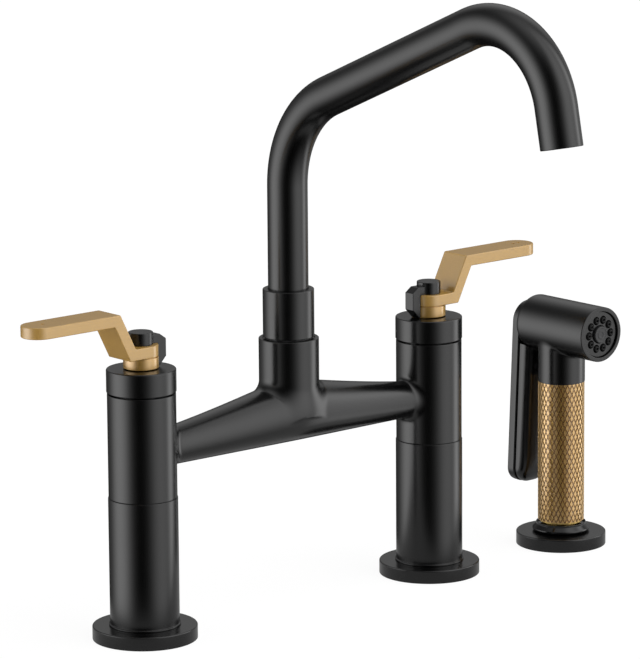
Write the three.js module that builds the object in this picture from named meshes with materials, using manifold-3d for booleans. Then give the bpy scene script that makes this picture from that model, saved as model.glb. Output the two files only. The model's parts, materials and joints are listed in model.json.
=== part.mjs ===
// Bridge kitchen faucet: two deck-mounted bodies joined by a tapered bridge, a tall angled spout,
// two strap levers and a side sprayer with a knurled grip. Millimetres, +Z up.
// Origin: on the deck, midway between the bodies. +X runs along the row to the sprayer, -Y to the user.
// The deck plane is z = 0: shanks, washers and nuts hang below it.
import * as THREE from 'three';
import { mergeVertices } from 'three/addons/utils/BufferGeometryUtils.js';
import Module from 'manifold-3d';

const wasm = await Module();
wasm.setup();

// ---- Driving sizes ----------------------------------------------------------------------------

// The row on the deck
const BODY_SPACING = 203.2; // between the two body centres, the standard 8 inches
const SPRAYER_OFFSET = 99.9; // from the cold body to the sprayer, near the standard 4 inches
const SPRAYER_FORWARD = 2; // the sprayer stands this much nearer the user
const DECK = 30; // thickest deck that the nuts are drawn for

// Bodies, from the deck up
const FLANGE_R = 28;
const FLANGE_TOP = 7.4;
const SLEEVE_R = 18.5;
const SEAM_Z = 76.8; // lower sleeve meets the casting
const BODY_R = 18.2;
const BODY_TOP = 132.9;
const CAP_R = 18.5;
const CAP_HEIGHT = 13.3;
const CAP_GROOVE = 0.7; // height of the shadow groove under the cap
const CAP_GROOVE_DEPTH = 1.2;

// Bridge casting
const BRIDGE_BOTTOM = 91.3; // the arms' underside is level
const ARM_MID_R = 17.4;
const ARM_END_R = 9.3;
const ARM_CROWN = 6; // softens the peak where the arms meet
const ARM_CURVE = 1.3; // 1 is a straight cone, more is hollower
const BODY_FILLET = 3.2;
const SOCKET_FILLET = 4.6;
const SOCKET_R = 16.3;
const SOCKET_TOP = 148.5;

// Spout
const COLLAR_GAP = 0.7; // between the socket and the collar that turns on it
const COLLAR_R = 13.9;
const COLLAR_HEIGHT = 26.1;
const SPOUT_R = 10.9;
const SPOUT_WALL = 1.5;
const SPOUT_LEDGE = 1.8; // the tube stands on a ledge this high inside the collar
const RISER_LENGTH = 80.3;
const LOWER_BEND_R = 56.6;
const LOWER_BEND_TURN = 67;
const SLOPE_LENGTH = 119.4;
const UPPER_BEND_R = 46.1;
const UPPER_BEND_TURN = 101.5;
const OUTLET_LENGTH = 20.6;

// Handles
const HUB_R = 9.4;
const HUB_HEIGHT = 6.3;
const STRAP = 6.2; // thickness of the lever strap
const STRAP_HALF = 9.25; // half its width
const LEVER_RISE = 19.6; // from the tang's underside to the paddle's
const LEG_FOOT = 14; // where the leg leaves the tang's underside, from the stem axis
const LEG_HEAD = 23.9; // where the leg meets the paddle's underside
const LEVER_REACH = 75.9;
const PIN_CAP_R = 6.6;
const PIN_CAP_HEIGHT = 6.8;
const RETAINER_OUT = 14.5; // its back face, from the stem axis
const RETAINER_HALF = 3.3;
const RETAINER_OVER = 4.6; // its arm stands this high over the tang
const RETAINER_SHOULDER = 4.1; // chamfer at its top, along the row
const RETAINER_SHOULDER_DROP = 2.9;
const RETAINER_FOOT = 4.5; // chamfer at its bottom, along the row
const RETAINER_FOOT_RISE = 4.7;
const RETAINER_ARM_END = 5; // its arm stops this far from the stem axis

// Sprayer
const BASE_R = 25.6;
const BASE_TOP = 7.4;
const HOLDER_TOP = 13.2;
const HOLDER_R = 16.8;
const HOLDER_SHANK_R = 11.6;
const HOLDER_BORE = 9;
const HOLDER_LIP = 0.7; // beyond the grip
const GRIP_R = 13.2;
const GRIP_TOP = 94.9;
const NECK_R = 13.4;
const HEAD_R = 15.65;
const HEAD_Z = 126.4;
const HEAD_FRONT = 32.1; // face, ahead of the grip's axis
const HEAD_BACK = 22.6;
const HEAD_ROUNDING = 3.4; // of its back edge
const FACE_DEPTH = 8; // of the chamber behind the spray plate
const FACE_SETBACK = 1.2; // of the spray plate inside the head's rim
const FACE_PLATE = 3.3;
const BUTTON_R = 4.8;
const NOZZLES = 10;
const NOZZLE_RING = 8.4;
const NOZZLE_R = 1.9;
const TRIGGER_PIVOT_Y = 20;
const TRIGGER_PIVOT_Z = 117.6;
const TRIGGER_TILT = 2.8; // degrees that its lower end leans away from the grip
const TRIGGER_BOTTOM = 86.2; // below the pivot, along the trigger
const TRIGGER_HALF = 11;
const TRIGGER_BACK = 9.6; // back face, behind the pivot
const TRIGGER_PLATE = 5.6;
const TRIGGER_DEPTH = 14; // plate and finger bar together
const TRIGGER_CORNER = 7;
const TRIGGER_EDGE = 0.8;
const FINGER_ROUND = 6.5; // the finger bar's long front edges
const FINGER_CHIN = 18; // height over which its lower end curves back to the plate
const GROOVE = 1.3; // between plate and finger bar
const PLUNGER_Z = 100.5;

// Inside and under the deck
const SHANK_R = 14;
const SHANK_BORE = 9;
const SHANK_TOP = 92;
const SHANK_TAIL = 28; // of each shank below the deck
const SLEEVE_ROOM = 1; // between a shank and the sleeve round it
const HOLDER_TAIL = 16;
const WASHER = 2;
const WASHER_R = 23;
const HOLDER_WASHER_R = 20;
const DECK_NUT_R = 22;
const DECK_NUT = 12;
const HOLDER_NUT_R = 18;
const HOLDER_NUT = 9;
const GASKET_WIDTH = 1.8;
const GASKET_INSET = 2; // from the rim of its flange
const GASKET_GROOVE = 1.4;
const GASKET = 1.3; // height
const WATERWAY = 5.2;
const INLET_R = 6;
const CARTRIDGE_R = 12.7;
const CARTRIDGE_NOSE_R = 8;
const CARTRIDGE_NOSE = 11;
const CARTRIDGE_FLOOR = 3; // from its nose up to where its port ends
const CARTRIDGE_PORT = 5;
const CAVITY_FLOOR = 100;
const CARTRIDGE_INSET = 1.4; // of the cartridge's top inside the body
const BONNET_FLANGE = 3.6;
const BONNET_HEX = 4.4;
const CAP_ROOF = 4;
const STEM_R = 4;
const STEM_SHOULDER = 5.6;
const STEM_DEPTH = 13.5; // of the stem inside the cartridge
const SPIGOT_R = 11;
const SPIGOT_BORE = 9;
const SPIGOT_DEPTH = 28.5; // of the collar's spigot inside the socket
const BUSHING_R = 12.2;
const BUSHING_LIP = 0.5; // inside the collar's face
const DIVERTER_R = 8.6;
const DIVERTER_FOOT = 96;
const DIVERTER_FLANGE = 1.6;

// Clearances
const FIT = 0.3; // beside a piece that is fixed
const TURN = 0.3; // round a piece that turns or slides
const TOUCH = 0.05; // between faces that are pressed together

// Facets
const WIDE = 24;
const MIDDLE = 16;
const NARROW = 12;

// Places that follow from the sizes
const HALF_ROW = BODY_SPACING / 2;
const SPRAYER_X = HALF_ROW + SPRAYER_OFFSET;
const CAP_TOP = BODY_TOP + CAP_HEIGHT;
const HUB_BOTTOM = CAP_TOP + TURN;
const TANG_BOTTOM = HUB_BOTTOM + HUB_HEIGHT;
const TANG_TOP = TANG_BOTTOM + STRAP;
const PADDLE_BOTTOM = TANG_BOTTOM + LEVER_RISE;
const PIN_CAP_TOP = TANG_TOP + PIN_CAP_HEIGHT;
const RETAINER_TOP = TANG_TOP + RETAINER_OVER;
const CARTRIDGE_TOP = BODY_TOP - CARTRIDGE_INSET;
const COLLAR_BOTTOM = SOCKET_TOP + COLLAR_GAP;
const COLLAR_TOP = COLLAR_BOTTOM + COLLAR_HEIGHT;
const SPOUT_SEAT = COLLAR_BOTTOM + SPOUT_LEDGE;
const SPIGOT_FOOT = SOCKET_TOP - SPIGOT_DEPTH;
const SOCKET_FLOOR = SPIGOT_FOOT - 2;

// ---- Finishes ---------------------------------------------------------------------------------

const finish = (color, roughness, metalness) => ({ color, roughness, metalness });
const BLACK = finish('#2b2b2d', 0.42, 0.75);
const BRASS = finish('#bd9c67', 0.38, 1);
const GLOSS = finish('#101012', 0.12, 0);
const RUBBER = finish('#18181a', 0.8, 0);
const PLASTIC = finish('#3a3a3c', 0.55, 0);
const RAW_BRASS = finish('#c9a95e', 0.45, 1);
const STEEL = finish('#b4b6b8', 0.35, 1);

// ---- Geometry helpers -------------------------------------------------------------------------

const radians = THREE.MathUtils.degToRad;

// Corners [x, y, fillet radius] become a list of points, with an arc at each filleted corner.
function outline(corners, closed = true, steps = 2) {
  const points = [];
  const count = corners.length;
  const at = (i) => new THREE.Vector2(...corners[(i + count) % count].slice(0, 2));
  corners.forEach(([, , fillet = 0], i) => {
    const here = at(i);
    const end = !closed && (i === 0 || i === count - 1);
    if (!fillet || end) {
      points.push(here);
      return;
    }
    const back = at(i - 1).sub(here).normalize();
    const ahead = at(i + 1).sub(here).normalize();
    const half = Math.acos(THREE.MathUtils.clamp(back.dot(ahead), -1, 1)) / 2;
    const middle = back.clone().add(ahead).normalize();
    const centre = here.clone().addScaledVector(middle, fillet / Math.sin(half));
    const first = here.clone().addScaledVector(back, fillet / Math.tan(half)).sub(centre);
    const last = here.clone().addScaledVector(ahead, fillet / Math.tan(half)).sub(centre);
    const from = Math.atan2(first.y, first.x);
    let sweep = Math.atan2(last.y, last.x) - from;
    if (sweep > Math.PI) sweep -= 2 * Math.PI;
    if (sweep < -Math.PI) sweep += 2 * Math.PI;
    for (let k = 0; k <= steps; k += 1) {
      const angle = from + (sweep * k) / steps;
      points.push(new THREE.Vector2(Math.cos(angle), Math.sin(angle)).multiplyScalar(fillet).add(centre));
    }
  });
  return points;
}

// Positions only, shared corners merged, no empty triangles, faces pointing out.
function tidy(geometry) {
  const bare = geometry.clone();
  bare.deleteAttribute('normal');
  bare.deleteAttribute('uv');
  bare.clearGroups();
  const merged = mergeVertices(bare, 1e-4);
  const position = merged.getAttribute('position');
  const index = merged.getIndex().array;
  const corner = [new THREE.Vector3(), new THREE.Vector3(), new THREE.Vector3()];
  const kept = [];
  let volume = 0;
  for (let i = 0; i < index.length; i += 3) {
    const ids = [index[i], index[i + 1], index[i + 2]];
    if (ids[0] === ids[1] || ids[1] === ids[2] || ids[2] === ids[0]) continue;
    ids.forEach((id, k) => corner[k].fromBufferAttribute(position, id));
    volume += corner[0].dot(corner[1].clone().cross(corner[2]));
    kept.push(...ids);
  }
  if (volume < 0) {
    for (let i = 0; i < kept.length; i += 3) {
      [kept[i + 1], kept[i + 2]] = [kept[i + 2], kept[i + 1]];
    }
  }
  merged.setIndex(kept);
  return merged;
}

function solid(geometry) {
  const clean = tidy(geometry);
  return new wasm.Manifold(
    new wasm.Mesh({
      numProp: 3,
      vertProperties: new Float32Array(clean.getAttribute('position').array),
      triVerts: new Uint32Array(clean.getIndex().array),
    }),
  );
}

function surface(manifold) {
  const mesh = manifold.getMesh();
  const geometry = new THREE.BufferGeometry();
  geometry.setAttribute('position', new THREE.BufferAttribute(new Float32Array(mesh.vertProperties), 3));
  geometry.setIndex(new THREE.BufferAttribute(new Uint32Array(mesh.triVerts), 1));
  return geometry;
}

const joined = (first, ...rest) => rest.reduce((body, more) => body.add(solid(more)), solid(first));
const cut = (body, ...tools) => tools.reduce((left, tool) => left.subtract(solid(tool)), body);

// Turned about Z. Corners are [radius, height, fillet]; an open profile starts and ends on the axis.
function turned(corners, segments, closed = true) {
  return spun(corners, segments, closed).rotateX(Math.PI / 2);
}

// Turned about Y, for the pieces that lie across the grip.
function spun(corners, segments, closed = true) {
  const points = outline(corners, closed);
  if (closed) points.push(points[0].clone());
  return new THREE.LatheGeometry(points, segments);
}

const ring = (inner, outer, low, high, segments) =>
  turned([[inner, low], [outer, low], [outer, high], [inner, high]], segments);

const rod = (radius, low, high, segments) =>
  turned([[0, low], [radius, low], [radius, high], [0, high]], segments, false);

// A rod along Y through (x, z).
function crossRod(radius, from, to, x, z, segments) {
  const corners = [[0, from], [radius, from], [radius, to], [0, to]];
  return spun(corners, segments, false).translate(x, 0, z);
}

// A plate of the given outline in XZ, from y = -half to y = +half, with its edges chamfered.
function plateXZ(points, half, chamfer = 0) {
  const options = {
    depth: 2 * (half - chamfer),
    bevelEnabled: chamfer > 0,
    bevelSegments: 1,
    bevelSize: chamfer,
    bevelThickness: chamfer,
    bevelOffset: -chamfer,
  };
  return new THREE.ExtrudeGeometry(new THREE.Shape(points), options)
    .rotateX(Math.PI / 2)
    .translate(0, half - chamfer, 0);
}

// A column of the given outline in XY, from low to high.
function column(points, low, high) {
  const options = { depth: high - low, bevelEnabled: false };
  return new THREE.ExtrudeGeometry(new THREE.Shape(points), options).translate(0, 0, low);
}

const circle = (radius, count) =>
  Array.from({ length: count }, (_, i) => {
    const angle = (2 * Math.PI * i) / count;
    return new THREE.Vector2(radius * Math.cos(angle), radius * Math.sin(angle));
  });

// A capped cylinder whose rows of points are moved onto the given rings.
function skin(rings) {
  const sides = rings[0].length;
  const rows = rings.length - 1;
  const geometry = new THREE.CylinderGeometry(1, 1, 1, sides, rows);
  const position = geometry.getAttribute('position');
  for (let i = 0; i < position.count; i += 1) {
    const row = Math.round((0.5 - position.getY(i)) * rows);
    const across = Math.hypot(position.getX(i), position.getZ(i));
    const turn = Math.atan2(position.getX(i), position.getZ(i)) / (2 * Math.PI);
    const side = (Math.round(turn * sides) + sides) % sides;
    const point = new THREE.Vector3();
    if (across > 0.5) point.copy(rings[row][side]);
    else rings[row].forEach((p) => point.addScaledVector(p, 1 / sides));
    position.setXYZ(i, point.x, point.y, point.z);
  }
  return geometry;
}

// A torus whose cross-sections are moved onto the given loops of points.
function hoop(loops) {
  const around = loops.length;
  const across = loops[0].length;
  const geometry = new THREE.TorusGeometry(2, 1, across, around);
  const position = geometry.getAttribute('position');
  for (let j = 0; j <= across; j += 1) {
    for (let i = 0; i <= around; i += 1) {
      const point = loops[i % around][j % across];
      position.setXYZ(j * (around + 1) + i, point.x, point.y, point.z);
    }
  }
  return geometry;
}

// ---- Scene graph ------------------------------------------------------------------------------

const faucet = new THREE.Group();

function put(name, shape, look, parent = faucet) {
  const geometry = tidy(shape instanceof THREE.BufferGeometry ? shape : surface(shape));
  geometry.computeVertexNormals();
  const mesh = new THREE.Mesh(geometry, new THREE.MeshStandardMaterial(look));
  mesh.name = name;
  parent.add(mesh);
  return mesh;
}

function group(x, y, z, parent = faucet) {
  const place = new THREE.Group();
  place.position.set(x, y, z);
  parent.add(place);
  return place;
}

// ---- Bridge casting ---------------------------------------------------------------------------

// The arms are round in section with a level underside, so their top rises towards the socket.
function armRadius(x) {
  const t = Math.hypot(x, ARM_CROWN) / Math.hypot(HALF_ROW, ARM_CROWN);
  return ARM_END_R + (ARM_MID_R - ARM_END_R) * (1 - Math.min(t, 1)) ** ARM_CURVE;
}

function armPoint(x, angle) {
  const r = armRadius(x);
  return new THREE.Vector3(x, r * Math.cos(angle), BRIDGE_BOTTOM + r + r * Math.sin(angle));
}

const ROOT = 0.1; // share of a body's radius by which the arms reach into it

// One loft from body to body. Each end flares in a rolling-ball fillet onto the round body.
function bridgeArms() {
  const sides = 24;
  const spans = 8;
  const steps = 3;
  const wall = BODY_R * Math.cos(Math.PI / WIDE);
  const ends = Array.from({ length: sides }, (_, i) => {
    const angle = (2 * Math.PI * i) / sides;
    let x = HALF_ROW - wall;
    let ball = null;
    for (let k = 0; k < 6; k += 1) {
      const reach = armRadius(x) + BODY_FILLET;
      const y = reach * Math.cos(angle);
      x = HALF_ROW - Math.sqrt((wall + BODY_FILLET) ** 2 - y * y);
      ball = new THREE.Vector3(x, y, BRIDGE_BOTTOM + armRadius(x) + reach * Math.sin(angle));
    }
    const inward = wall / (wall + BODY_FILLET);
    const onArm = armPoint(x, angle);
    const onBody = new THREE.Vector3(HALF_ROW - (HALF_ROW - ball.x) * inward, ball.y * inward, ball.z);
    const first = onArm.clone().sub(ball);
    const last = onBody.clone().sub(ball);
    const arc = [];
    for (let k = 1; k <= steps; k += 1) {
      const spoke = first.clone().lerp(last, k / steps).setLength(BODY_FILLET);
      arc.push(ball.clone().add(spoke));
    }
    const sunk = onBody.clone();
    sunk.x += (HALF_ROW - onBody.x) * ROOT;
    sunk.y *= 1 - ROOT;
    arc.push(sunk);
    return { angle, x, arc };
  });
  const rings = [];
  for (let k = -spans / 2; k <= spans / 2; k += 1) {
    rings.push(ends.map(({ angle, x }) => armPoint((x * k) / (spans / 2), angle)));
  }
  for (let k = 0; k <= steps; k += 1) {
    rings.push(ends.map(({ arc }) => arc[k]));
    rings.unshift(ends.map(({ arc }) => arc[k].clone().multiply(new THREE.Vector3(-1, 1, 1))));
  }
  return skin(rings);
}

// Height of the arms' upper surface at a distance and direction from the spout axis.
function armTop(distance, angle) {
  const r = armRadius(distance * Math.cos(angle));
  const y = Math.min(Math.abs(distance * Math.sin(angle)), r * 0.999);
  return BRIDGE_BOTTOM + r + Math.sqrt(r * r - y * y);
}

// The fillet between a round post and a surface that falls away round it: in each direction an arc
// touches the post and the surface.
function saddleFillet(postR, filletR, topAt, count, steps) {
  const loops = [];
  for (let i = 0; i < count; i += 1) {
    const angle = (2 * Math.PI * i) / count;
    let contact = postR + filletR;
    let fall = 0;
    for (let k = 0; k < 12; k += 1) {
      fall = Math.atan2(topAt(contact - 0.2, angle) - topAt(contact + 0.2, angle), 0.4);
      contact = postR + filletR * (1 - Math.sin(fall));
    }
    const centreZ = topAt(contact, angle) + filletR * Math.cos(fall);
    const arc = [[postR - 2, centreZ]];
    for (let k = 0; k <= steps; k += 1) {
      const turn = Math.PI + ((Math.PI / 2 - fall) * k) / steps;
      const out = postR + filletR + filletR * Math.cos(turn);
      arc.push([out, centreZ + filletR * Math.sin(turn) - 0.05]);
    }
    arc.push([contact, topAt(contact, angle) - 2], [postR - 2, topAt(contact, angle) - 2]);
    loops.push(arc.map(([s, z]) => new THREE.Vector3(s * Math.cos(angle), s * Math.sin(angle), z)));
  }
  return hoop(loops);
}

function bridgeCasting() {
  const upperBody = (x) =>
    turned([[0, SEAM_Z], [BODY_R, SEAM_Z, 0.3], [BODY_R, BODY_TOP, 0.3], [0, BODY_TOP]], WIDE, false)
      .translate(x, 0, 0);
  const socketFoot = BRIDGE_BOTTOM + ARM_END_R;
  const socket = turned([
    [0, socketFoot],
    [SOCKET_R, socketFoot],
    [SOCKET_R, SOCKET_TOP, 0.5],
    [0, SOCKET_TOP],
  ], WIDE, false);
  const post = SOCKET_R * Math.cos(Math.PI / WIDE);
  const blend = saddleFillet(post, SOCKET_FILLET, armTop, WIDE, 3);
  const body = joined(bridgeArms(), upperBody(-HALF_ROW), upperBody(HALF_ROW), socket, blend);
  const bores = [-HALF_ROW, HALF_ROW].flatMap((x) => [
    rod(SHANK_R + FIT, SEAM_Z - 1, SHANK_TOP, MIDDLE).translate(x, 0, 0),
    rod(INLET_R, SHANK_TOP - 1, CAVITY_FLOOR + 1, NARROW).translate(x, 0, 0),
    rod(CARTRIDGE_R + FIT, CAVITY_FLOOR, BODY_TOP + 1, MIDDLE).translate(x, 0, 0),
  ]);
  const waterway = rod(WATERWAY, -HALF_ROW, HALF_ROW, NARROW).rotateY(Math.PI / 2)
    .translate(0, 0, CAVITY_FLOOR + WATERWAY);
  const diverterBore = rod(DIVERTER_R + FIT, DIVERTER_FOOT, SOCKET_FLOOR + 1, MIDDLE);
  const spoutBore = rod(BUSHING_R + FIT, SOCKET_FLOOR, SOCKET_TOP + 1, MIDDLE);
  return cut(body, ...bores, waterway, diverterBore, spoutBore);
}

put('bridge_casting', bridgeCasting(), BLACK);

// ---- Bodies, one each side --------------------------------------------------------------------

function flange(radius, top, bore) {
  const outer = radius - GASKET_INSET + 2 * FIT;
  const inner = radius - GASKET_INSET - GASKET_WIDTH - 2 * FIT;
  return turned([
    [bore, 0],
    [inner, 0],
    [inner, GASKET_GROOVE],
    [outer, GASKET_GROOVE],
    [outer, 0],
    [radius, 0],
    [radius, top, 0.7],
    [bore, top],
  ], WIDE);
}

const gasket = (radius) =>
  ring(radius - GASKET_INSET - GASKET_WIDTH, radius - GASKET_INSET, 0, GASKET, MIDDLE);

// A hexagon nut with its upper face at top.
function nut(radius, bore, top, height) {
  const blank = column(circle(radius, 6), top - height, top);
  return cut(solid(blank), rod(bore, top - height - 1, top + 1, MIDDLE));
}

function body(side, x) {
  const place = group(x, 0, 0);
  put(`${side}_flange`, flange(FLANGE_R, FLANGE_TOP, SHANK_R + FIT), BLACK, place);
  put(`${side}_flange_gasket`, gasket(FLANGE_R), RUBBER, place);
  put(`${side}_sleeve`, turned([
    [SHANK_R + SLEEVE_ROOM, FLANGE_TOP],
    [SLEEVE_R, FLANGE_TOP],
    [SLEEVE_R, SEAM_Z, 0.3],
    [SHANK_R + SLEEVE_ROOM, SEAM_Z],
  ], WIDE), BLACK, place);
  put(`${side}_shank`, ring(SHANK_BORE, SHANK_R, -DECK - SHANK_TAIL, SHANK_TOP, MIDDLE), RAW_BRASS, place);
  put(`${side}_deck_washer`, ring(SHANK_R + FIT, WASHER_R, -DECK - WASHER, -DECK, MIDDLE), STEEL, place);
  put(`${side}_deck_nut`, nut(DECK_NUT_R, SHANK_R + FIT, -DECK - WASHER, DECK_NUT), RAW_BRASS, place);
  const noseTop = CAVITY_FLOOR + CARTRIDGE_NOSE;
  const stemFloor = CARTRIDGE_TOP - STEM_DEPTH - TURN;
  put(`${side}_cartridge`, turned([
    [0, noseTop + CARTRIDGE_FLOOR],
    [CARTRIDGE_PORT, noseTop + CARTRIDGE_FLOOR],
    [CARTRIDGE_PORT, CAVITY_FLOOR],
    [CARTRIDGE_NOSE_R, CAVITY_FLOOR],
    [CARTRIDGE_NOSE_R, noseTop],
    [CARTRIDGE_R, noseTop],
    [CARTRIDGE_R, CARTRIDGE_TOP],
    [STEM_R + TURN, CARTRIDGE_TOP],
    [STEM_R + TURN, stemFloor],
    [0, stemFloor],
  ], NARROW, false), RAW_BRASS, place);
  const hexFoot = CARTRIDGE_TOP + BONNET_FLANGE;
  const bonnetTop = hexFoot + BONNET_HEX;
  const bonnetNut = cut(
    joined(
      rod(CARTRIDGE_R, CARTRIDGE_TOP, hexFoot + 0.1, MIDDLE),
      column(circle(CARTRIDGE_R, 6), hexFoot, bonnetTop),
    ),
    rod(STEM_SHOULDER + TURN, CARTRIDGE_TOP - 1, bonnetTop + 1, NARROW),
  );
  put(`${side}_bonnet_nut`, bonnetNut, RAW_BRASS, place);
  const capBore = CARTRIDGE_R + 3 * FIT;
  put(`${side}_cap`, turned([
    [capBore, BODY_TOP],
    [CAP_R - CAP_GROOVE_DEPTH, BODY_TOP],
    [CAP_R - CAP_GROOVE_DEPTH, BODY_TOP + CAP_GROOVE],
    [CAP_R, BODY_TOP + CAP_GROOVE],
    [CAP_R, CAP_TOP, 0.8],
    [STEM_SHOULDER + TURN, CAP_TOP],
    [STEM_SHOULDER + TURN, CAP_TOP - CAP_ROOF],
    [capBore, CAP_TOP - CAP_ROOF],
  ], WIDE), BLACK, place);
}

// ---- Handles ----------------------------------------------------------------------------------

// The strap bends up from the tang and out again into the paddle, all in one thickness. It is the
// bent profile inside the plan of a strap with round ends.
function lever() {
  const rise = PADDLE_BOTTOM - TANG_BOTTOM;
  const lean = Math.atan2(LEG_HEAD - LEG_FOOT, rise);
  const shift = STRAP * (1 - Math.sin(lean)) / Math.cos(lean);
  const profile = outline([
    [-STRAP_HALF, TANG_BOTTOM],
    [LEG_FOOT, TANG_BOTTOM, 0.8],
    [LEG_HEAD, PADDLE_BOTTOM, 1],
    [LEVER_REACH, PADDLE_BOTTOM],
    [LEVER_REACH, PADDLE_BOTTOM + STRAP],
    [LEG_HEAD - shift, PADDLE_BOTTOM + STRAP, 1],
    [LEG_FOOT - shift, TANG_TOP, 1],
    [-STRAP_HALF, TANG_TOP],
  ]);
  const plan = new THREE.Shape();
  plan.absarc(0, 0, STRAP_HALF, Math.PI / 2, -Math.PI / 2, false);
  plan.absarc(LEVER_REACH - STRAP_HALF, 0, STRAP_HALF, -Math.PI / 2, Math.PI / 2, false);
  const ends = column(plan.getPoints(6), TANG_BOTTOM - 1, PADDLE_BOTTOM + STRAP + 1);
  const strap = solid(plateXZ(profile, STRAP_HALF)).intersect(solid(ends));
  return cut(strap, rod(STEM_R + FIT, TANG_BOTTOM - 1, TANG_TOP + 1, NARROW));
}

// The chamfered block behind the hub, with an arm over the tang to the pin cap.
function retainer() {
  const foot = HUB_BOTTOM + 2 * TOUCH;
  const profile = outline([
    [-RETAINER_OUT, RETAINER_TOP - RETAINER_SHOULDER_DROP],
    [-RETAINER_OUT + RETAINER_SHOULDER, RETAINER_TOP],
    [-RETAINER_ARM_END, RETAINER_TOP],
    [-RETAINER_ARM_END, foot],
    [-RETAINER_OUT + RETAINER_FOOT, foot],
    [-RETAINER_OUT, HUB_BOTTOM + RETAINER_FOOT_RISE],
  ]);
  return cut(
    solid(plateXZ(profile, RETAINER_HALF)),
    rod(HUB_R + FIT, HUB_BOTTOM - 2, TANG_TOP + FIT, WIDE),
    rod(PIN_CAP_R + FIT, TANG_TOP - 1, RETAINER_TOP + 1, MIDDLE),
  );
}

function handle(side, x, facing) {
  const place = group(x, 0, 0);
  place.rotation.z = facing;
  const stemFoot = CARTRIDGE_TOP - STEM_DEPTH;
  const shoulder = CARTRIDGE_TOP + TURN;
  put(`${side}_stem`, turned([
    [0, stemFoot],
    [STEM_R, stemFoot],
    [STEM_R, shoulder],
    [STEM_SHOULDER, shoulder],
    [STEM_SHOULDER, HUB_BOTTOM - TOUCH],
    [STEM_R, HUB_BOTTOM - TOUCH],
    [STEM_R, TANG_TOP - FIT],
    [0, TANG_TOP - FIT],
  ], NARROW, false), RAW_BRASS, place);
  put(`${side}_hub`, ring(STEM_R + FIT, HUB_R, HUB_BOTTOM, TANG_BOTTOM - TOUCH, MIDDLE), BRASS, place);
  put(`${side}_lever`, lever(), BRASS, place);
  put(`${side}_pin_cap`, turned([
    [0, TANG_TOP + TOUCH],
    [PIN_CAP_R, TANG_TOP + TOUCH],
    [PIN_CAP_R, PIN_CAP_TOP, 0.5],
    [0, PIN_CAP_TOP],
  ], MIDDLE, false), BLACK, place);
  put(`${side}_retainer`, retainer(), BLACK, place);
}

body('hot', -HALF_ROW);
body('cold', HALF_ROW);
handle('hot', -HALF_ROW, Math.PI);
handle('cold', HALF_ROW, 0);

// ---- Spout ------------------------------------------------------------------------------------

// An arc in the YZ plane that starts at a point with a heading and turns downwards.
class Bend extends THREE.Curve {
  constructor(start, heading, radius, turn) {
    super();
    Object.assign(this, { start, heading, radius, turn });
  }

  getPoint(t, target = new THREE.Vector3()) {
    const angle = this.heading - this.turn * t;
    const out = this.radius * (Math.sin(this.heading) - Math.sin(angle));
    const up = this.radius * (Math.cos(angle) - Math.cos(this.heading));
    return target.set(0, this.start.y - out, this.start.z + up);
  }
}

const along = (heading) => new THREE.Vector3(0, -Math.cos(heading), Math.sin(heading));

function spoutPath() {
  const path = new THREE.CurvePath();
  let point = new THREE.Vector3(0, 0, SPOUT_SEAT);
  let heading = Math.PI / 2;
  const straight = (length) => {
    const next = point.clone().addScaledVector(along(heading), length);
    path.add(new THREE.LineCurve3(point, next));
    point = next;
  };
  const bend = (radius, degrees) => {
    const arc = new Bend(point, heading, radius, radians(degrees));
    path.add(arc);
    point = arc.getPoint(1);
    heading -= radians(degrees);
  };
  straight(RISER_LENGTH);
  bend(LOWER_BEND_R, LOWER_BEND_TURN);
  straight(SLOPE_LENGTH);
  bend(UPPER_BEND_R, UPPER_BEND_TURN);
  straight(OUTLET_LENGTH);
  return { path, point, heading };
}

const { path: spoutLine, point: outlet, heading: outletHeading } = spoutPath();
const TUBE_SIDES = 20;
const TUBE_BORE_SIDES = 8;
const TUBE_STEPS = 30;
const tubeSection = new THREE.Shape(circle(SPOUT_R, TUBE_SIDES));
tubeSection.holes.push(new THREE.Path(circle(SPOUT_R - SPOUT_WALL, TUBE_BORE_SIDES)));
const sweep = { steps: TUBE_STEPS, extrudePath: spoutLine };
put('spout_tube', new THREE.ExtrudeGeometry(tubeSection, sweep), BLACK);

put('spout_collar', turned([
  [SPIGOT_BORE, SPIGOT_FOOT],
  [SPIGOT_R, SPIGOT_FOOT],
  [SPIGOT_R, COLLAR_BOTTOM],
  [COLLAR_R, COLLAR_BOTTOM, 0.4],
  [COLLAR_R, COLLAR_TOP, 0.6],
  [SPOUT_R + FIT, COLLAR_TOP],
  [SPOUT_R + FIT, SPOUT_SEAT],
  [SPIGOT_BORE, SPOUT_SEAT],
], WIDE), BLACK);

put('spout_bushing', turned([
  [SPIGOT_R + TURN, SPIGOT_FOOT + 1],
  [BUSHING_R, SPIGOT_FOOT + 1],
  [BUSHING_R, SOCKET_TOP],
  [COLLAR_R - BUSHING_LIP, SOCKET_TOP],
  [COLLAR_R - BUSHING_LIP, COLLAR_BOTTOM],
  [SPIGOT_R + TURN, COLLAR_BOTTOM],
], MIDDLE), PLASTIC);

const DIVERTER_WELL = 4; // radius of the hollow in its top
const DIVERTER_WELL_DEPTH = 7.6;
const diverterTop = SOCKET_FLOOR + DIVERTER_FLANGE;
put('diverter', turned([
  [0, DIVERTER_FOOT],
  [DIVERTER_R, DIVERTER_FOOT],
  [DIVERTER_R, SOCKET_FLOOR],
  [BUSHING_R, SOCKET_FLOOR],
  [BUSHING_R, diverterTop],
  [DIVERTER_WELL, diverterTop],
  [DIVERTER_WELL, diverterTop - DIVERTER_WELL_DEPTH],
  [0, diverterTop - DIVERTER_WELL_DEPTH],
], NARROW, false), PLASTIC);

const tip = group(outlet.x, outlet.y, outlet.z);
tip.quaternion.setFromUnitVectors(new THREE.Vector3(0, 0, 1), along(outletHeading));
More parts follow.
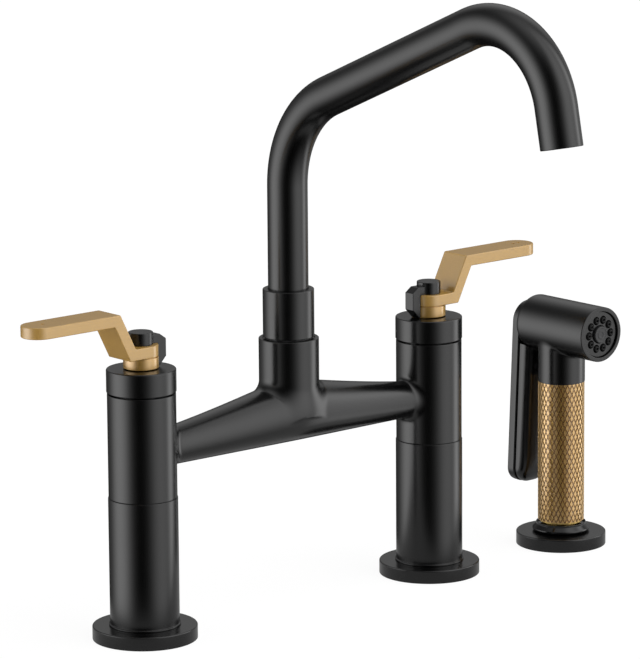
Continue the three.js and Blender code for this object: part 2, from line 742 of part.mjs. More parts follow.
// Heights from the outlet's rim, into the tube
const AERATOR_DEPTH = 10;
const AERATOR_SETBACK = 0.6;
const AERATOR_WALL = 1.15;
const AERATOR_LEDGE = 1; // that the insert stands on
const INSERT_SETBACK = 1.8;
const INSERT_DISH = 0.6; // its face is dished towards its rim by this much
const INSERT_FLAT_R = 5.4;
const tipBore = (SPOUT_R - SPOUT_WALL) * Math.cos(Math.PI / TUBE_BORE_SIDES);
const housingR = tipBore - 0.25;
const insertR = housingR - AERATOR_WALL - FIT;
put('aerator_housing', turned([
  [insertR - FIT, -AERATOR_DEPTH],
  [housingR, -AERATOR_DEPTH],
  [housingR, -AERATOR_SETBACK, 0.3],
  [housingR - AERATOR_WALL, -AERATOR_SETBACK],
  [housingR - AERATOR_WALL, AERATOR_LEDGE - AERATOR_DEPTH],
  [insertR - FIT, AERATOR_LEDGE - AERATOR_DEPTH],
], NARROW), BLACK, tip);
put('aerator_insert', turned([
  [0, AERATOR_LEDGE - AERATOR_DEPTH + FIT],
  [insertR, AERATOR_LEDGE - AERATOR_DEPTH + FIT],
  [insertR, -INSERT_SETBACK - INSERT_DISH],
  [INSERT_FLAT_R, -INSERT_SETBACK],
  [0, -INSERT_SETBACK],
], NARROW, false), PLASTIC, tip);

// ---- Sprayer base and holder ------------------------------------------------------------------

const stand = group(SPRAYER_X, -SPRAYER_FORWARD, 0);
const holderHole = HOLDER_SHANK_R + FIT; // in all that the holder's shank passes through
put('sprayer_base', flange(BASE_R, BASE_TOP, holderHole), BLACK, stand);
put('sprayer_base_gasket', gasket(BASE_R), RUBBER, stand);
put('sprayer_holder', turned([
  [HOLDER_BORE, -DECK - HOLDER_TAIL],
  [HOLDER_SHANK_R, -DECK - HOLDER_TAIL],
  [HOLDER_SHANK_R, BASE_TOP],
  [HOLDER_R - 0.6, BASE_TOP],
  [HOLDER_R, BASE_TOP + 0.8],
  [HOLDER_R - 0.2, BASE_TOP + 1.9],
  [HOLDER_R - 2.2, HOLDER_TOP - 1.4],
  [GRIP_R + HOLDER_LIP, HOLDER_TOP],
  [HOLDER_BORE, HOLDER_TOP],
], MIDDLE), GLOSS, stand);
put('sprayer_deck_washer', ring(holderHole, HOLDER_WASHER_R, -DECK - WASHER, -DECK, MIDDLE), STEEL, stand);
put('sprayer_deck_nut', nut(HOLDER_NUT_R, holderHole, -DECK - WASHER, HOLDER_NUT), PLASTIC, stand);

// ---- Sprayer wand -----------------------------------------------------------------------------

const NIPPLE_R = 8.4;
const NIPPLE_BORE = 3.2;
const NIPPLE_FOOT = -14;
const BARB_R = 5.4; // the hose slides over the barb
const BARB_FOOT = -24;
const CORE_R = 9.9;
const CORE_BORE = 6;
const CORE_RIM = 1; // the bright rim under the grip
const CORE_RIM_R = 12.3;
const gripFoot = HOLDER_TOP + CORE_RIM;
put('hose_nipple', turned([
  [NIPPLE_BORE, BARB_FOOT],
  [BARB_R, BARB_FOOT],
  [BARB_R, NIPPLE_FOOT],
  [NIPPLE_R, NIPPLE_FOOT, 0.8],
  [NIPPLE_R, HOLDER_TOP],
  [NIPPLE_BORE, HOLDER_TOP],
], NARROW), RAW_BRASS, stand);
put('wand_core', turned([
  [CORE_BORE, HOLDER_TOP],
  [CORE_RIM_R, HOLDER_TOP],
  [CORE_RIM_R, gripFoot],
  [CORE_R, gripFoot],
  [CORE_R, GRIP_TOP],
  [CORE_BORE, GRIP_TOP],
], MIDDLE), RAW_BRASS, stand);
put('wand_grip', ring(CORE_R + FIT, GRIP_R, gripFoot, GRIP_TOP, WIDE), BRASS, stand);

const FACE = -HEAD_FRONT;
const FACE_FLOOR = -HEAD_FRONT + FACE_DEPTH;
const FACE_BORE = 13.6; // radius of the chamber behind the spray plate
const PLATE_R = 12.9;
const PAD_R = 11.5;
const BUTTON_PROUD = 1.5; // of the plate
const NOZZLE_PROUD = 1;
const HEAD_WATERWAY = 5.5;
const PORT_R = 3; // from the head to the chamber
const PLUNGER_R = 2.6;
const PIN_R = 1.5;
const PIN_HALF = 9.8; // half its length
const LUG_HALF = 4.2; // half the width of the trigger's lug
const SLOT = { wide: 2 * (LUG_HALF + FIT), deep: 12, tall: 18 };
const SMALL_SIDES = 10; // of pins and small bores
const NOZZLE_SIDES = 6;

function wandHead() {
  const barrel = spun([
    [0, FACE_FLOOR],
    [FACE_BORE, FACE_FLOOR],
    [FACE_BORE, FACE],
    [HEAD_R, FACE, 0.5],
    [HEAD_R, HEAD_BACK, HEAD_ROUNDING],
    [0, HEAD_BACK],
  ], WIDE, false).translate(0, 0, HEAD_Z);
  const neck = rod(NECK_R, GRIP_TOP, HEAD_Z, WIDE);
  const slot = new THREE.BoxGeometry(SLOT.wide, SLOT.deep, SLOT.tall)
    .translate(0, TRIGGER_PIVOT_Y + 1, TRIGGER_PIVOT_Z - 4);
  const pinHole = rod(PIN_R + FIT, -PIN_HALF - 0.2, PIN_HALF + 0.2, SMALL_SIDES).rotateY(Math.PI / 2)
    .translate(0, TRIGGER_PIVOT_Y, TRIGGER_PIVOT_Z);
  return cut(
    joined(barrel, neck),
    rod(HEAD_WATERWAY, GRIP_TOP - 1, HEAD_Z, NARROW),
    crossRod(PORT_R, FACE_FLOOR - 1, 0, 0, HEAD_Z, SMALL_SIDES),
    crossRod(PLUNGER_R + TURN, 0, NECK_R + 1, 0, PLUNGER_Z, SMALL_SIDES),
    slot,
    pinHole,
  );
}

put('wand_head', wandHead(), BLACK, stand);

const nozzleSpots = Array.from({ length: NOZZLES }, (_, i) => {
  const angle = (2 * Math.PI * i) / NOZZLES;
  return [NOZZLE_RING * Math.cos(angle), HEAD_Z + NOZZLE_RING * Math.sin(angle)];
});
const PLATE_FACE = FACE + FACE_SETBACK;
const PLATE_REAR = PLATE_FACE + FACE_PLATE;
const sprayPlate = spun([
  [BUTTON_R + FIT, PLATE_REAR],
  [PLATE_R, PLATE_REAR],
  [PLATE_R, PLATE_FACE],
  [BUTTON_R + FIT, PLATE_FACE],
], MIDDLE).translate(0, 0, HEAD_Z);
put('spray_plate', cut(
  solid(sprayPlate),
  ...nozzleSpots.map(([x, z]) => crossRod(NOZZLE_R + FIT, FACE, FACE_FLOOR, x, z, NOZZLE_SIDES)),
), BLACK, stand);
const nozzlePad = spun([
  [BUTTON_R + FIT, PLATE_REAR + FIT],
  [PAD_R, PLATE_REAR + FIT],
  [PAD_R, FACE_FLOOR],
  [BUTTON_R + FIT, FACE_FLOOR],
], NARROW).translate(0, 0, HEAD_Z);
const nozzleTip = PLATE_FACE - NOZZLE_PROUD;
put('nozzle_pad', joined(
  nozzlePad,
  ...nozzleSpots.map(([x, z]) => crossRod(NOZZLE_R, nozzleTip, FACE_FLOOR - 1, x, z, NOZZLE_SIDES)),
), RUBBER, stand);
put('spray_button', spun([
  [0, PLATE_FACE - BUTTON_PROUD],
  [BUTTON_R, PLATE_FACE - BUTTON_PROUD, 0.4],
  [BUTTON_R, FACE_FLOOR],
  [0, FACE_FLOOR],
], NARROW, false).translate(0, 0, HEAD_Z), PLASTIC, stand);

// ---- Trigger ----------------------------------------------------------------------------------

// Drawn about its pivot: +Y away from the grip, -Z down the trigger.
const trigger = group(0, TRIGGER_PIVOT_Y, TRIGGER_PIVOT_Z, stand);
trigger.rotation.x = radians(TRIGGER_TILT);
const HEAD_ABOVE = HEAD_Z - TRIGGER_PIVOT_Z;
const PLATE_FRONT = TRIGGER_BACK - TRIGGER_PLATE;
const FINGER_INSET = 0.3; // of the finger bar inside the plate's outline
const GROOVE_DEPTH = 1.2;
const HEAD_ROOM = 0.8; // between the finger bar and the head
const LUG_DROP = 14; // from the pivot down into the finger bar

// A tongue: round at the top over the head's back, with two rounded corners at the bottom.
function tongue(half, bottom, corner) {
  const shape = new THREE.Shape();
  shape.absarc(0, HEAD_ABOVE, half, 0, Math.PI, false);
  shape.absarc(-half + corner, -bottom + corner, corner, Math.PI, 1.5 * Math.PI, false);
  shape.absarc(half - corner, -bottom + corner, corner, 1.5 * Math.PI, 2 * Math.PI, false);
  return shape.getPoints(5);
}

const plateOutline = tongue(TRIGGER_HALF, TRIGGER_BOTTOM, TRIGGER_CORNER);
put('trigger_plate', plateXZ(plateOutline, TRIGGER_PLATE / 2, TRIGGER_EDGE)
  .translate(0, TRIGGER_BACK - TRIGGER_PLATE / 2, 0), BLACK, trigger);

// The finger bar in front of the plate is rounded towards the grip, necked at the groove and curved
// back at its lower end. Its lug reaches up into the head.
function fingerBar() {
  const half = TRIGGER_HALF - FINGER_INSET;
  const neck = half - GROOVE_DEPTH;
  const front = TRIGGER_BACK - TRIGGER_DEPTH;
  const back = PLATE_FRONT - FIT;
  const top = 2; // over the pivot, before the head's curve is cut out of it
  const section = outline([
    [-half, back - GROOVE],
    [-half, front, FINGER_ROUND],
    [half, front, FINGER_ROUND],
    [half, back - GROOVE],
    [neck, back - GROOVE],
    [neck, back],
    [-neck, back],
    [-neck, back - GROOVE],
  ], true, 4);
  const side = new THREE.Shape();
  side.moveTo(back, top);
  side.lineTo(front, top);
  side.absellipse(back, FINGER_CHIN - TRIGGER_BOTTOM, back - front, FINGER_CHIN, Math.PI, 1.5 * Math.PI);
  const chin = new THREE.ExtrudeGeometry(side, { depth: 2 * half, bevelEnabled: false, curveSegments: 5 })
    .rotateX(Math.PI / 2)
    .rotateZ(Math.PI / 2)
    .translate(-half, 0, 0);
  const ends = tongue(half, TRIGGER_BOTTOM - FINGER_INSET, TRIGGER_CORNER);
  const bar = solid(column(section, -TRIGGER_BOTTOM - 1, top))
    .intersect(solid(plateXZ(ends, TRIGGER_DEPTH)))
    .intersect(solid(chin));
  const clear = crossRod(HEAD_R + HEAD_ROOM, -TRIGGER_DEPTH, TRIGGER_DEPTH, 0, HEAD_ABOVE, WIDE);
  const lug = joined(
    new THREE.BoxGeometry(2 * LUG_HALF, 2 * back, LUG_DROP).translate(0, 0, -LUG_DROP / 2),
    rod(back, -LUG_HALF, LUG_HALF, NARROW).rotateY(Math.PI / 2),
  );
  return cut(
    cut(bar, clear).add(lug),
    rod(PIN_R + TURN, -LUG_HALF - 1, LUG_HALF + 1, SMALL_SIDES).rotateY(Math.PI / 2),
  );
}

put('trigger_bar', fingerBar(), BLACK, trigger);
put('trigger_pin', rod(PIN_R, -PIN_HALF, PIN_HALF, SMALL_SIDES).rotateY(Math.PI / 2)
  .translate(0, TRIGGER_PIVOT_Y, TRIGGER_PIVOT_Z), STEEL, stand);
const triggerFace = TRIGGER_PIVOT_Y + TRIGGER_BACK - TRIGGER_DEPTH
  + (TRIGGER_PIVOT_Z - PLUNGER_Z) * Math.tan(radians(TRIGGER_TILT));
put('valve_plunger', crossRod(PLUNGER_R, 3, triggerFace - TURN, 0, PLUNGER_Z, SMALL_SIDES), STEEL, stand);

export default faucet;
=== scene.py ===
"""Bridge kitchen faucet: the finished look of each piece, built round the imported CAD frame.

Shapes are drawn in millimetres and scaled to metres when a piece is made. +X runs along the row to the
sprayer, -Y to the user, +Z up, and the deck is z = 0.
"""
import json
from math import atan2, cos, hypot, pi, radians, sin, sqrt, tan

import bmesh
import bpy
import numpy as np
from mathutils import Matrix, Vector


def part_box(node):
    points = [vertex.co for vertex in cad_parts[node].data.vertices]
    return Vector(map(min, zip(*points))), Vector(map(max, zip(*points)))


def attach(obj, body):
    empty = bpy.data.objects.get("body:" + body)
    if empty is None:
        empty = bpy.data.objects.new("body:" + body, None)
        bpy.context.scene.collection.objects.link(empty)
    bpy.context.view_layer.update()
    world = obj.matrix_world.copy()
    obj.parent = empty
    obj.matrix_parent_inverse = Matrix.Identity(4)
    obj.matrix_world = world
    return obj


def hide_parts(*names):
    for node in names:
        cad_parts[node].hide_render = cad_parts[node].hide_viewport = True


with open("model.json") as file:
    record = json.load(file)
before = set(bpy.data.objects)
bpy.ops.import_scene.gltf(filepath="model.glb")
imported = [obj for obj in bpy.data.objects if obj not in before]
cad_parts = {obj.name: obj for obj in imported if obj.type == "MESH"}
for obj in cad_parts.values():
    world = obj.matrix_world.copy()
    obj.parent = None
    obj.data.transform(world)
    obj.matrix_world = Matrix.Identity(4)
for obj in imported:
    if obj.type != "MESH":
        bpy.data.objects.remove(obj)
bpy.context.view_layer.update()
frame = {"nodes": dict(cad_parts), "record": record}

MM = 0.001
NODES = frame["nodes"]


# ---- Camera ----

CAMERA_PLACE = Vector((-1515.1, -1790.5, 637.7))
CAMERA_AZIMUTH = radians(-40.65)
CAMERA_ELEVATION = radians(11.69)
CAMERA_ROLL = radians(-0.43)
FOCAL_PIXELS = 4447.4  # of a picture whose longer side has LONG_SIDE pixels
LONG_SIDE = 659
SENSOR = 36.0


def make_camera():
    """The camera that took the photograph, solved from the faucet's own edges."""
    right = Vector((cos(CAMERA_AZIMUTH), sin(CAMERA_AZIMUTH), 0))
    level = Vector((sin(CAMERA_AZIMUTH), -cos(CAMERA_AZIMUTH), 0))
    back = level * cos(CAMERA_ELEVATION) + Vector((0, 0, sin(CAMERA_ELEVATION)))
    up = back.cross(right)
    turned_right = right * cos(CAMERA_ROLL) + up * sin(CAMERA_ROLL)
    turned_up = up * cos(CAMERA_ROLL) - right * sin(CAMERA_ROLL)
    data = bpy.data.cameras.new("camera")
    data.sensor_width = SENSOR
    data.lens = FOCAL_PIXELS * SENSOR / LONG_SIDE
    camera = bpy.data.objects.new("camera", data)
    bpy.context.scene.collection.objects.link(camera)
    turn = Matrix((turned_right, turned_up, back)).transposed().to_4x4()
    camera.matrix_world = Matrix.Translation(CAMERA_PLACE * MM) @ turn
    bpy.context.scene.camera = camera


make_camera()


# ---- Studio ----

class Graph:
    """A node tree that is cleared and then built up by short calls.

    An input is named as in Blender with _ for each space, or by its number as _0, _1 and so on.
    """

    def __init__(self, tree):
        self.tree = tree
        tree.nodes.clear()

    def node(self, kind, settings=None, **inputs):
        made = self.tree.nodes.new(kind)
        for name, value in (settings or {}).items():
            setattr(made, name, value)
        for name, value in inputs.items():
            key = int(name[1:]) if name[1:].isdigit() else name.replace("_", " ")
            self.feed(made.inputs[key], value)
        return made

    def feed(self, socket, value):
        if isinstance(value, bpy.types.NodeSocket):
            self.tree.links.new(value, socket)
        else:
            socket.default_value = value

    def math(self, operation, *values):
        made = self.node("ShaderNodeMath", {"operation": operation})
        for socket, value in zip(made.inputs, values):
            self.feed(socket, value)
        return made.outputs[0]

    def dot(self, vector, direction):
        made = self.node("ShaderNodeVectorMath", {"operation": "DOT_PRODUCT"}, _0=vector, _1=direction)
        return made.outputs["Value"]


# Lights as the object sees them: degrees to the right of the camera, degrees up, strength, and how many
# degrees each spreads sideways and upwards.
SOFT_BOXES = [
    (-76, -4, 2.8, 33, 33),
    (-130, 5, 0.15, 26, 34),
    (64, 20, 1.95, 34, 54),
    (109, 0, 2.3, 13, 60),
    (0, 90, 0.95, 400, 33),
]
# The lit paper behind the object, which its surfaces show towards their right edges and their tops.
BACKDROP = [(134, 0, 0.5, 28, 45), (170, 40, 0.8, 46, 26)]
FALL_OFF = 2.4  # a lobe fades as exp(-distance ** FALL_OFF)
ROOM = 0.012  # the dark part of the studio


def make_world():
    """Soft boxes in a dark room that light the object, and plain white behind it."""
    world = bpy.data.worlds.new("studio")
    world.use_nodes = True
    bpy.context.scene.world = world
    g = Graph(world.node_tree)
    toward = (sin(CAMERA_AZIMUTH), -cos(CAMERA_AZIMUTH), 0)
    right = (cos(CAMERA_AZIMUTH), sin(CAMERA_AZIMUTH), 0)
    direction = g.node("ShaderNodeTexCoord").outputs["Generated"]
    turn = g.math("ARCTAN2", g.dot(direction, right), g.dot(direction, toward))
    rise = g.math("ARCSINE", g.dot(direction, (0, 0, 1)))

    def faded(distance, spread):
        share = g.math("DIVIDE", g.math("ABSOLUTE", distance), radians(spread))
        return g.math("POWER", share, FALL_OFF)

    def lobe(side, height, strength, wide, tall):
        across = g.math("WRAP", g.math("SUBTRACT", turn, radians(side)), pi, -pi)
        up = g.math("SUBTRACT", rise, radians(height))
        distance = g.math("ADD", faded(across, wide), faded(up, tall))
        return g.math("MULTIPLY", g.math("EXPONENT", g.math("MULTIPLY", distance, -1.0)), strength)

    light = ROOM
    for soft_box in SOFT_BOXES:
        light = g.math("ADD", lobe(*soft_box), light)
    rays = g.node("ShaderNodeLightPath").outputs
    straight = g.math("MAXIMUM", rays["Is Camera Ray"], rays["Is Transmission Ray"])
    paper = g.math("MAXIMUM", *[lobe(*part) for part in BACKDROP])
    mirrored = g.math("MULTIPLY", rays["Is Glossy Ray"], paper)
    white = g.math("MAXIMUM", straight, mirrored)
    strength = g.math("MAXIMUM", light, white)
    background = g.node("ShaderNodeBackground", Color=(1, 1, 1, 1), Strength=strength)
    g.node("ShaderNodeOutputWorld", Surface=background.outputs[0])


FLOOR_SHARE = 0.85  # of the floor's look that is plain white; the rest takes light and shadow
FLOOR_GLOW = 1.09
FLOOR_PAINTED_SHADE = 0.45  # painted shade: reflections show the floor close to the row as a dim glow of this strength, in place of the floor in the object's shade; further off it is clear
FLOOR_FADES = (0.06, 0.09)  # metres from the row between which it turns clear
ROW_ENDS = (-0.102, 0.202)  # metres along the row, from the hot body to the sprayer


def make_floor():
    """A white floor that keeps the object's shadow, and that reflections show close to the row as a dim
    glow of painted shade.
    """
    bpy.ops.mesh.primitive_plane_add(size=60)
    floor = bpy.context.object
    floor.name = "floor"
    material = bpy.data.materials.new("pale_floor")
    material.use_nodes = True
    g = Graph(material.node_tree)
    rays = g.node("ShaderNodeLightPath").outputs
    seen = g.math("MAXIMUM", rays["Is Camera Ray"], rays["Is Transmission Ray"])
    lit = g.node("ShaderNodeBsdfDiffuse", Color=(0.9, 0.9, 0.9, 1)).outputs[0]
    pale = g.node("ShaderNodeEmission", Color=(1, 1, 1, 1), Strength=FLOOR_GLOW).outputs[0]
    plain = g.math("MULTIPLY", seen, FLOOR_SHARE)
    shade = g.node("ShaderNodeMixShader", _0=plain, _1=lit, _2=pale).outputs[0]
    place = g.node("ShaderNodeTexCoord").outputs["Object"]
    x, y, _ = g.node("ShaderNodeSeparateXYZ", Vector=place).outputs
    first, last = ROW_ENDS
    beyond = g.math("MAXIMUM", g.math("SUBTRACT", x, last), g.math("SUBTRACT", first, x))
    beyond = g.math("MAXIMUM", beyond, 0.0)
    away = g.math("SQRT", g.math("ADD", g.math("POWER", beyond, 2.0), g.math("POWER", y, 2.0)))
    start, end = FLOOR_FADES
    far = g.node("ShaderNodeMapRange", Value=away, From_Min=start, From_Max=end).outputs[0]
    # Painted shade: a dim glow that reflections show near the row, where the floor lies in the object's
    # shade.
    painted_floor_shade = g.node("ShaderNodeEmission", Color=(1, 1, 1, 1), Strength=FLOOR_PAINTED_SHADE).outputs[0]
    clear = g.node("ShaderNodeBsdfTransparent").outputs[0]
    mirrored = g.node("ShaderNodeMixShader", _0=far, _1=painted_floor_shade, _2=clear).outputs[0]
    look = g.node("ShaderNodeMixShader", _0=rays["Is Glossy Ray"], _1=shade, _2=mirrored)
    g.node("ShaderNodeOutputMaterial", Surface=look.outputs[0])
    floor.data.materials.append(material)


bpy.context.scene.view_settings.view_transform = "Standard"
make_world()
make_floor()


# ---- Materials ----

def principled(name, colour, roughness, **inputs):
    """A material whose Principled node is ready, with its graph and its texture coordinates."""
    material = bpy.data.materials.new(name)
    material.use_nodes = True
    g = Graph(material.node_tree)
    shader = g.node("ShaderNodeBsdfPrincipled", Base_Color=(*colour, 1), Roughness=roughness, **inputs)
    g.node("ShaderNodeOutputMaterial", Surface=shader.outputs[0])
    place = g.node("ShaderNodeTexCoord").outputs["Object"]
    return material, g, shader, place


def ranged(g, value, low, high):
    """A 0 to 1 value carried over to the range low to high."""
    return g.node("ShaderNodeMapRange", Value=value, To_Min=low, To_Max=high).outputs[0]


def blend(g, share, first, second):
    return g.node("ShaderNodeMix", {"data_type": "RGBA"}, _0=share, _6=first, _7=second).outputs[2]


def noise(g, place, scale, detail, stretch=(1, 1, 1)):
    place = g.node("ShaderNodeMapping", Vector=place, Scale=stretch).outputs[0]
    return g.node("ShaderNodeTexNoise", Vector=place, Scale=scale, Detail=detail).outputs["Fac"]


def bumped(g, shader, height, strength, distance):
    bump = g.node("ShaderNodeBump", Height=height, Strength=strength, Distance=distance)
    g.feed(shader.inputs["Normal"], bump.outputs[0])


def satin_black():
    material, g, shader, place = principled("satin_black", (0.0012, 0.0012, 0.0013), 0.23, IOR=1.56)
    cloud = noise(g, place, 45, 3)
    grain = noise(g, place, 2600, 2)
    g.feed(shader.inputs["Roughness"], ranged(g, cloud, 0.21, 0.27))
    bumped(g, shader, grain, 0.2, 0.00002)
    return material


BRASS = (0.58, 0.335, 0.075)
BRASS_DARKER = (0.51, 0.29, 0.058, 1)
BRASS_LIGHTER = (0.65, 0.385, 0.095, 1)
# Painted shade down in the knurl's grooves.
GROOVE_PAINTED_SHADE = (0.22, 0.105, 0.018, 1)
LACQUER = {"Coat_Weight": 1.0, "Coat_Roughness": 0.22, "Coat_IOR": 1.95}


def satin_brass(name, stretch, metal, roughness, groove=None):
    """Lacquered brass, whose brushed lines run across the axes that have a large stretch.

    A groove (axis, floor radius, top radius) paints shade on the brass, darkening it from that top down to
    that floor.
    """
    material, g, shader, place = principled(name, BRASS, roughness, Metallic=metal, Specular_IOR_Level=0.0,
                                            **LACQUER)
    lines = noise(g, place, 1, 3, stretch)
    cloud = noise(g, place, 60, 2)
    tone = g.math("ADD", g.math("MULTIPLY", lines, 0.7), g.math("MULTIPLY", cloud, 0.3))
    colour = blend(g, tone, BRASS_DARKER, BRASS_LIGHTER)
    if groove:
        # Painted shade: the colour darkens with distance from the axis, from the groove's top down to its
        # floor.
        axis, floor, top = groove
        out = g.node("ShaderNodeVectorMath", {"operation": "SUBTRACT"}, _0=place, _1=axis).outputs[0]
        out = g.node("ShaderNodeVectorMath", {"operation": "MULTIPLY"}, _0=out, _1=(1, 1, 0)).outputs[0]
        out = g.node("ShaderNodeVectorMath", {"operation": "LENGTH"}, _0=out).outputs["Value"]
        rise = g.node("ShaderNodeMapRange", Value=out, From_Min=floor, From_Max=top).outputs[0]
        colour = blend(g, rise, GROOVE_PAINTED_SHADE, colour)
    g.feed(shader.inputs["Base Color"], colour)
    g.feed(shader.inputs["Roughness"], ranged(g, lines, roughness - 0.07, roughness + 0.08))
    bumped(g, shader, lines, 0.35, 0.00004)
    return material


def gloss_black():
    material, g, shader, place = principled("gloss_black", (0.005, 0.005, 0.0055), 0.09, IOR=1.5)
    g.feed(shader.inputs["Roughness"], ranged(g, noise(g, place, 90, 3), 0.06, 0.14))
    return material


def rubber():
    material, g, shader, place = principled("rubber", (0.003, 0.003, 0.003), 0.6, IOR=1.35)
    g.feed(shader.inputs["Roughness"], ranged(g, noise(g, place, 400, 2), 0.5, 0.7))
    bumped(g, shader, noise(g, place, 3000, 2), 0.3, 0.00004)
    return material


def black_plastic():
    material, g, shader, place = principled("black_plastic", (0.02, 0.02, 0.021), 0.5)
    g.feed(shader.inputs["Roughness"], ranged(g, noise(g, place, 200, 2), 0.42, 0.58))
    bumped(g, shader, noise(g, place, 2200, 2), 0.3, 0.00003)
    return material


def machined(name, colour, roughness):
    """Turned bare metal with fine rings round the upright axis."""
    material, g, shader, place = principled(name, colour, roughness, Metallic=1.0)
    rings = noise(g, place, 1, 2, (60, 60, 4200))
    g.feed(shader.inputs["Roughness"], ranged(g, rings, roughness - 0.08, roughness + 0.1))
    bumped(g, shader, rings, 0.4, 0.00005)
    return material


BLACK = satin_black()
LEVER_BRASS = satin_brass("lever_brass", (70, 2400, 2400), 0.1, 0.5)
HUB_BRASS = satin_brass("hub_brass", (60, 60, 3200), 0.5, 0.4)
GLOSS = gloss_black()
RUBBER = rubber()
PLASTIC = black_plastic()
RAW_BRASS = machined("raw_brass", (0.60, 0.42, 0.14), 0.38)
STEEL = machined("steel", (0.55, 0.56, 0.57), 0.34)
SLOT_LOOKS = {
    "satin_black": BLACK,
    "satin_brass": HUB_BRASS,
    "gloss_black": GLOSS,
    "rubber": RUBBER,
    "black_plastic": PLASTIC,
    "raw_brass": RAW_BRASS,
    "steel": STEEL,
}
SLOTS = {look.name: slot for slot, look in SLOT_LOOKS.items()}
SLOTS.update(lever_brass="satin_brass", knurl_brass="satin_brass")


# ---- Shapes: (points, faces) in millimetres ----

def fillets(corners, closed=False, steps=6):
    """Corners (x, y) or (x, y, radius) as points, with an arc at each corner that has a radius.

    An open outline keeps its two ends sharp.
    """
    points = []
    for i, (x, y, *radius) in enumerate(corners):
        here = Vector((x, y))
        end = not closed and i in (0, len(corners) - 1)
        if not radius or end:
            points.append(here)
            continue
        before = (Vector(corners[i - 1][:2]) - here).normalized()
        after = (Vector(corners[(i + 1) % len(corners)][:2]) - here).normalized()
        half = before.angle(after) / 2
        centre = here + (before + after).normalized() * radius[0] / sin(half)
        first = here + before * radius[0] / tan(half) - centre
        last = here + after * radius[0] / tan(half) - centre
        sweep = (pi - 2 * half) * (1 if first.cross(last) > 0 else -1)
        for k in range(steps + 1):
            points.append(centre + Matrix.Rotation(sweep * k / steps, 2) @ first)
    return points


def skin(rings, closed=False):
    """Quads between rings of equal length. A ring of one point is a pole."""
    points, faces, index = [], [], []
    for ring in rings:
        index.append(range(len(points), len(points) + len(ring)))
        points.extend(ring)
    pairs = list(zip(index, index[1:])) + ([(index[-1], index[0])] if closed else [])
    for a, b in pairs:
        count = max(len(a), len(b))
        for k in range(count):
            face = [a[k % len(a)], a[(k + 1) % len(a)], b[(k + 1) % len(b)], b[k % len(b)]]
            face = list(dict.fromkeys(face))
            if len(face) > 2:
                faces.append(face)
    return points, faces


def full_turn(count):
    return [2 * pi * k / count for k in range(count)]


def lathe(corners, closed=True, segments=96):
    """Turned about Z from (radius, height, fillet) corners. An open outline has its ends on the axis."""
    rings = []
    for radius, height in fillets(corners, closed):
        if radius < 1e-6:
            rings.append([Vector((0, 0, height))])
            continue
        rings.append([Vector((radius * cos(t), radius * sin(t), height)) for t in full_turn(segments)])
    return skin(rings, closed)


def moved(shape, place):
    return [place @ Vector(p) for p in shape[0]], shape[1]


def together(*shapes):
    points, faces = [], []
    for more_points, more_faces in shapes:
        faces.extend([[i + len(points) for i in face] for face in more_faces])
        points.extend(more_points)
    return points, faces


def rod(size, foot, top, segments=96):
    """A plain round rod on Z."""
    return lathe([(0, foot), (size, foot), (size, top), (0, top)], False, segments)


def slab(outline, half, edge, steps=4):
    """A convex outline in XZ, from y = -half to half, with rounded edges."""
    count = len(outline)
    area = sum(outline[i - 1].cross(outline[i]) for i in range(count))
    inward = []
    for i, here in enumerate(outline):
        a = (here - outline[i - 1]).normalized()
        b = (outline[(i + 1) % count] - here).normalized()
        across = (a + b).normalized()
        normal = Vector((-across.y, across.x)) * (1 if area > 0 else -1)
        inward.append(normal / max(0.3, cos(a.angle(b) / 2)))  # longer at a corner, up to a limit
    rings = []
    for side in (-1, 1):
        for k in range(steps + 1):
            turn = pi / 2 * (k if side < 0 else steps - k) / steps
            inset, rise = edge * (1 - sin(turn)), edge * (1 - cos(turn))
            flat = [p + n * inset for p, n in zip(outline, inward)]
            rings.append([Vector((p.x, side * (half - rise), p.y)) for p in flat])
    points, faces = skin(rings)
    faces.append(list(range(count)))
    faces.append(list(range(len(points) - count, len(points))))
    return points, faces


def from_bmesh(bm):
    bm.verts.index_update()
    shape = [v.co.copy() for v in bm.verts], [[v.index for v in f.verts] for f in bm.faces]
    bm.free()
    return shape


def make(name, shape, body, material, nodes, cutters=(), sharp=32):
    """A piece that stands for CAD nodes and rides a body."""
    obj = solid_object(name, shape)
    for cutter in cutters:
        tool = solid_object("cutter", cutter)
        cut = obj.modifiers.new("cut", "BOOLEAN")
        cut.object = tool
        cut.solver = "EXACT"
        apply_modifiers(obj)
        bpy.data.objects.remove(tool)
    obj.data.materials.clear()
    obj.data.materials.append(material)
    obj.data.shade_smooth()
    obj.data.set_sharp_from_angle(angle=radians(sharp))
    even = obj.modifiers.new("even_shading", "WEIGHTED_NORMAL")
    even.keep_sharp = True
    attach(obj, body)
    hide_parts(*nodes)
    return obj


def solid_object(name, shape):
    mesh = bpy.data.meshes.new(name)
    mesh.from_pydata([Vector(p) * MM for p in shape[0]], [], shape[1])
    bm = bmesh.new()
    bm.from_mesh(mesh)
    bmesh.ops.remove_doubles(bm, verts=bm.verts, dist=1e-7)
    bmesh.ops.recalc_face_normals(bm, faces=bm.faces)
    bm.to_mesh(mesh)
    bm.free()
    obj = bpy.data.objects.new(name, mesh)
    bpy.context.scene.collection.objects.link(obj)
    return obj


def apply_modifiers(obj):
    bpy.context.view_layer.update()
    evaluated = obj.evaluated_get(bpy.context.evaluated_depsgraph_get())
    mesh = bpy.data.meshes.new_from_object(evaluated)
    obj.modifiers.clear()
    obj.data = mesh


# ---- Sizes that the frame gives ----

def low(node):
    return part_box(node)[0] / MM


def high(node):
    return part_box(node)[1] / MM


def radius(node):
    return (high(node).x - low(node).x) / 2


def centre(node):
    return (high(node) + low(node)) / 2


def standing(node):
    """The upright axis that a turned node stands on."""
    middle = centre(node)
    return Matrix.Translation((middle.x, middle.y, 0))


HALF_ROW = centre("cold_sleeve").x
STAND = standing("sprayer_base")


# ---- Blended castings ----

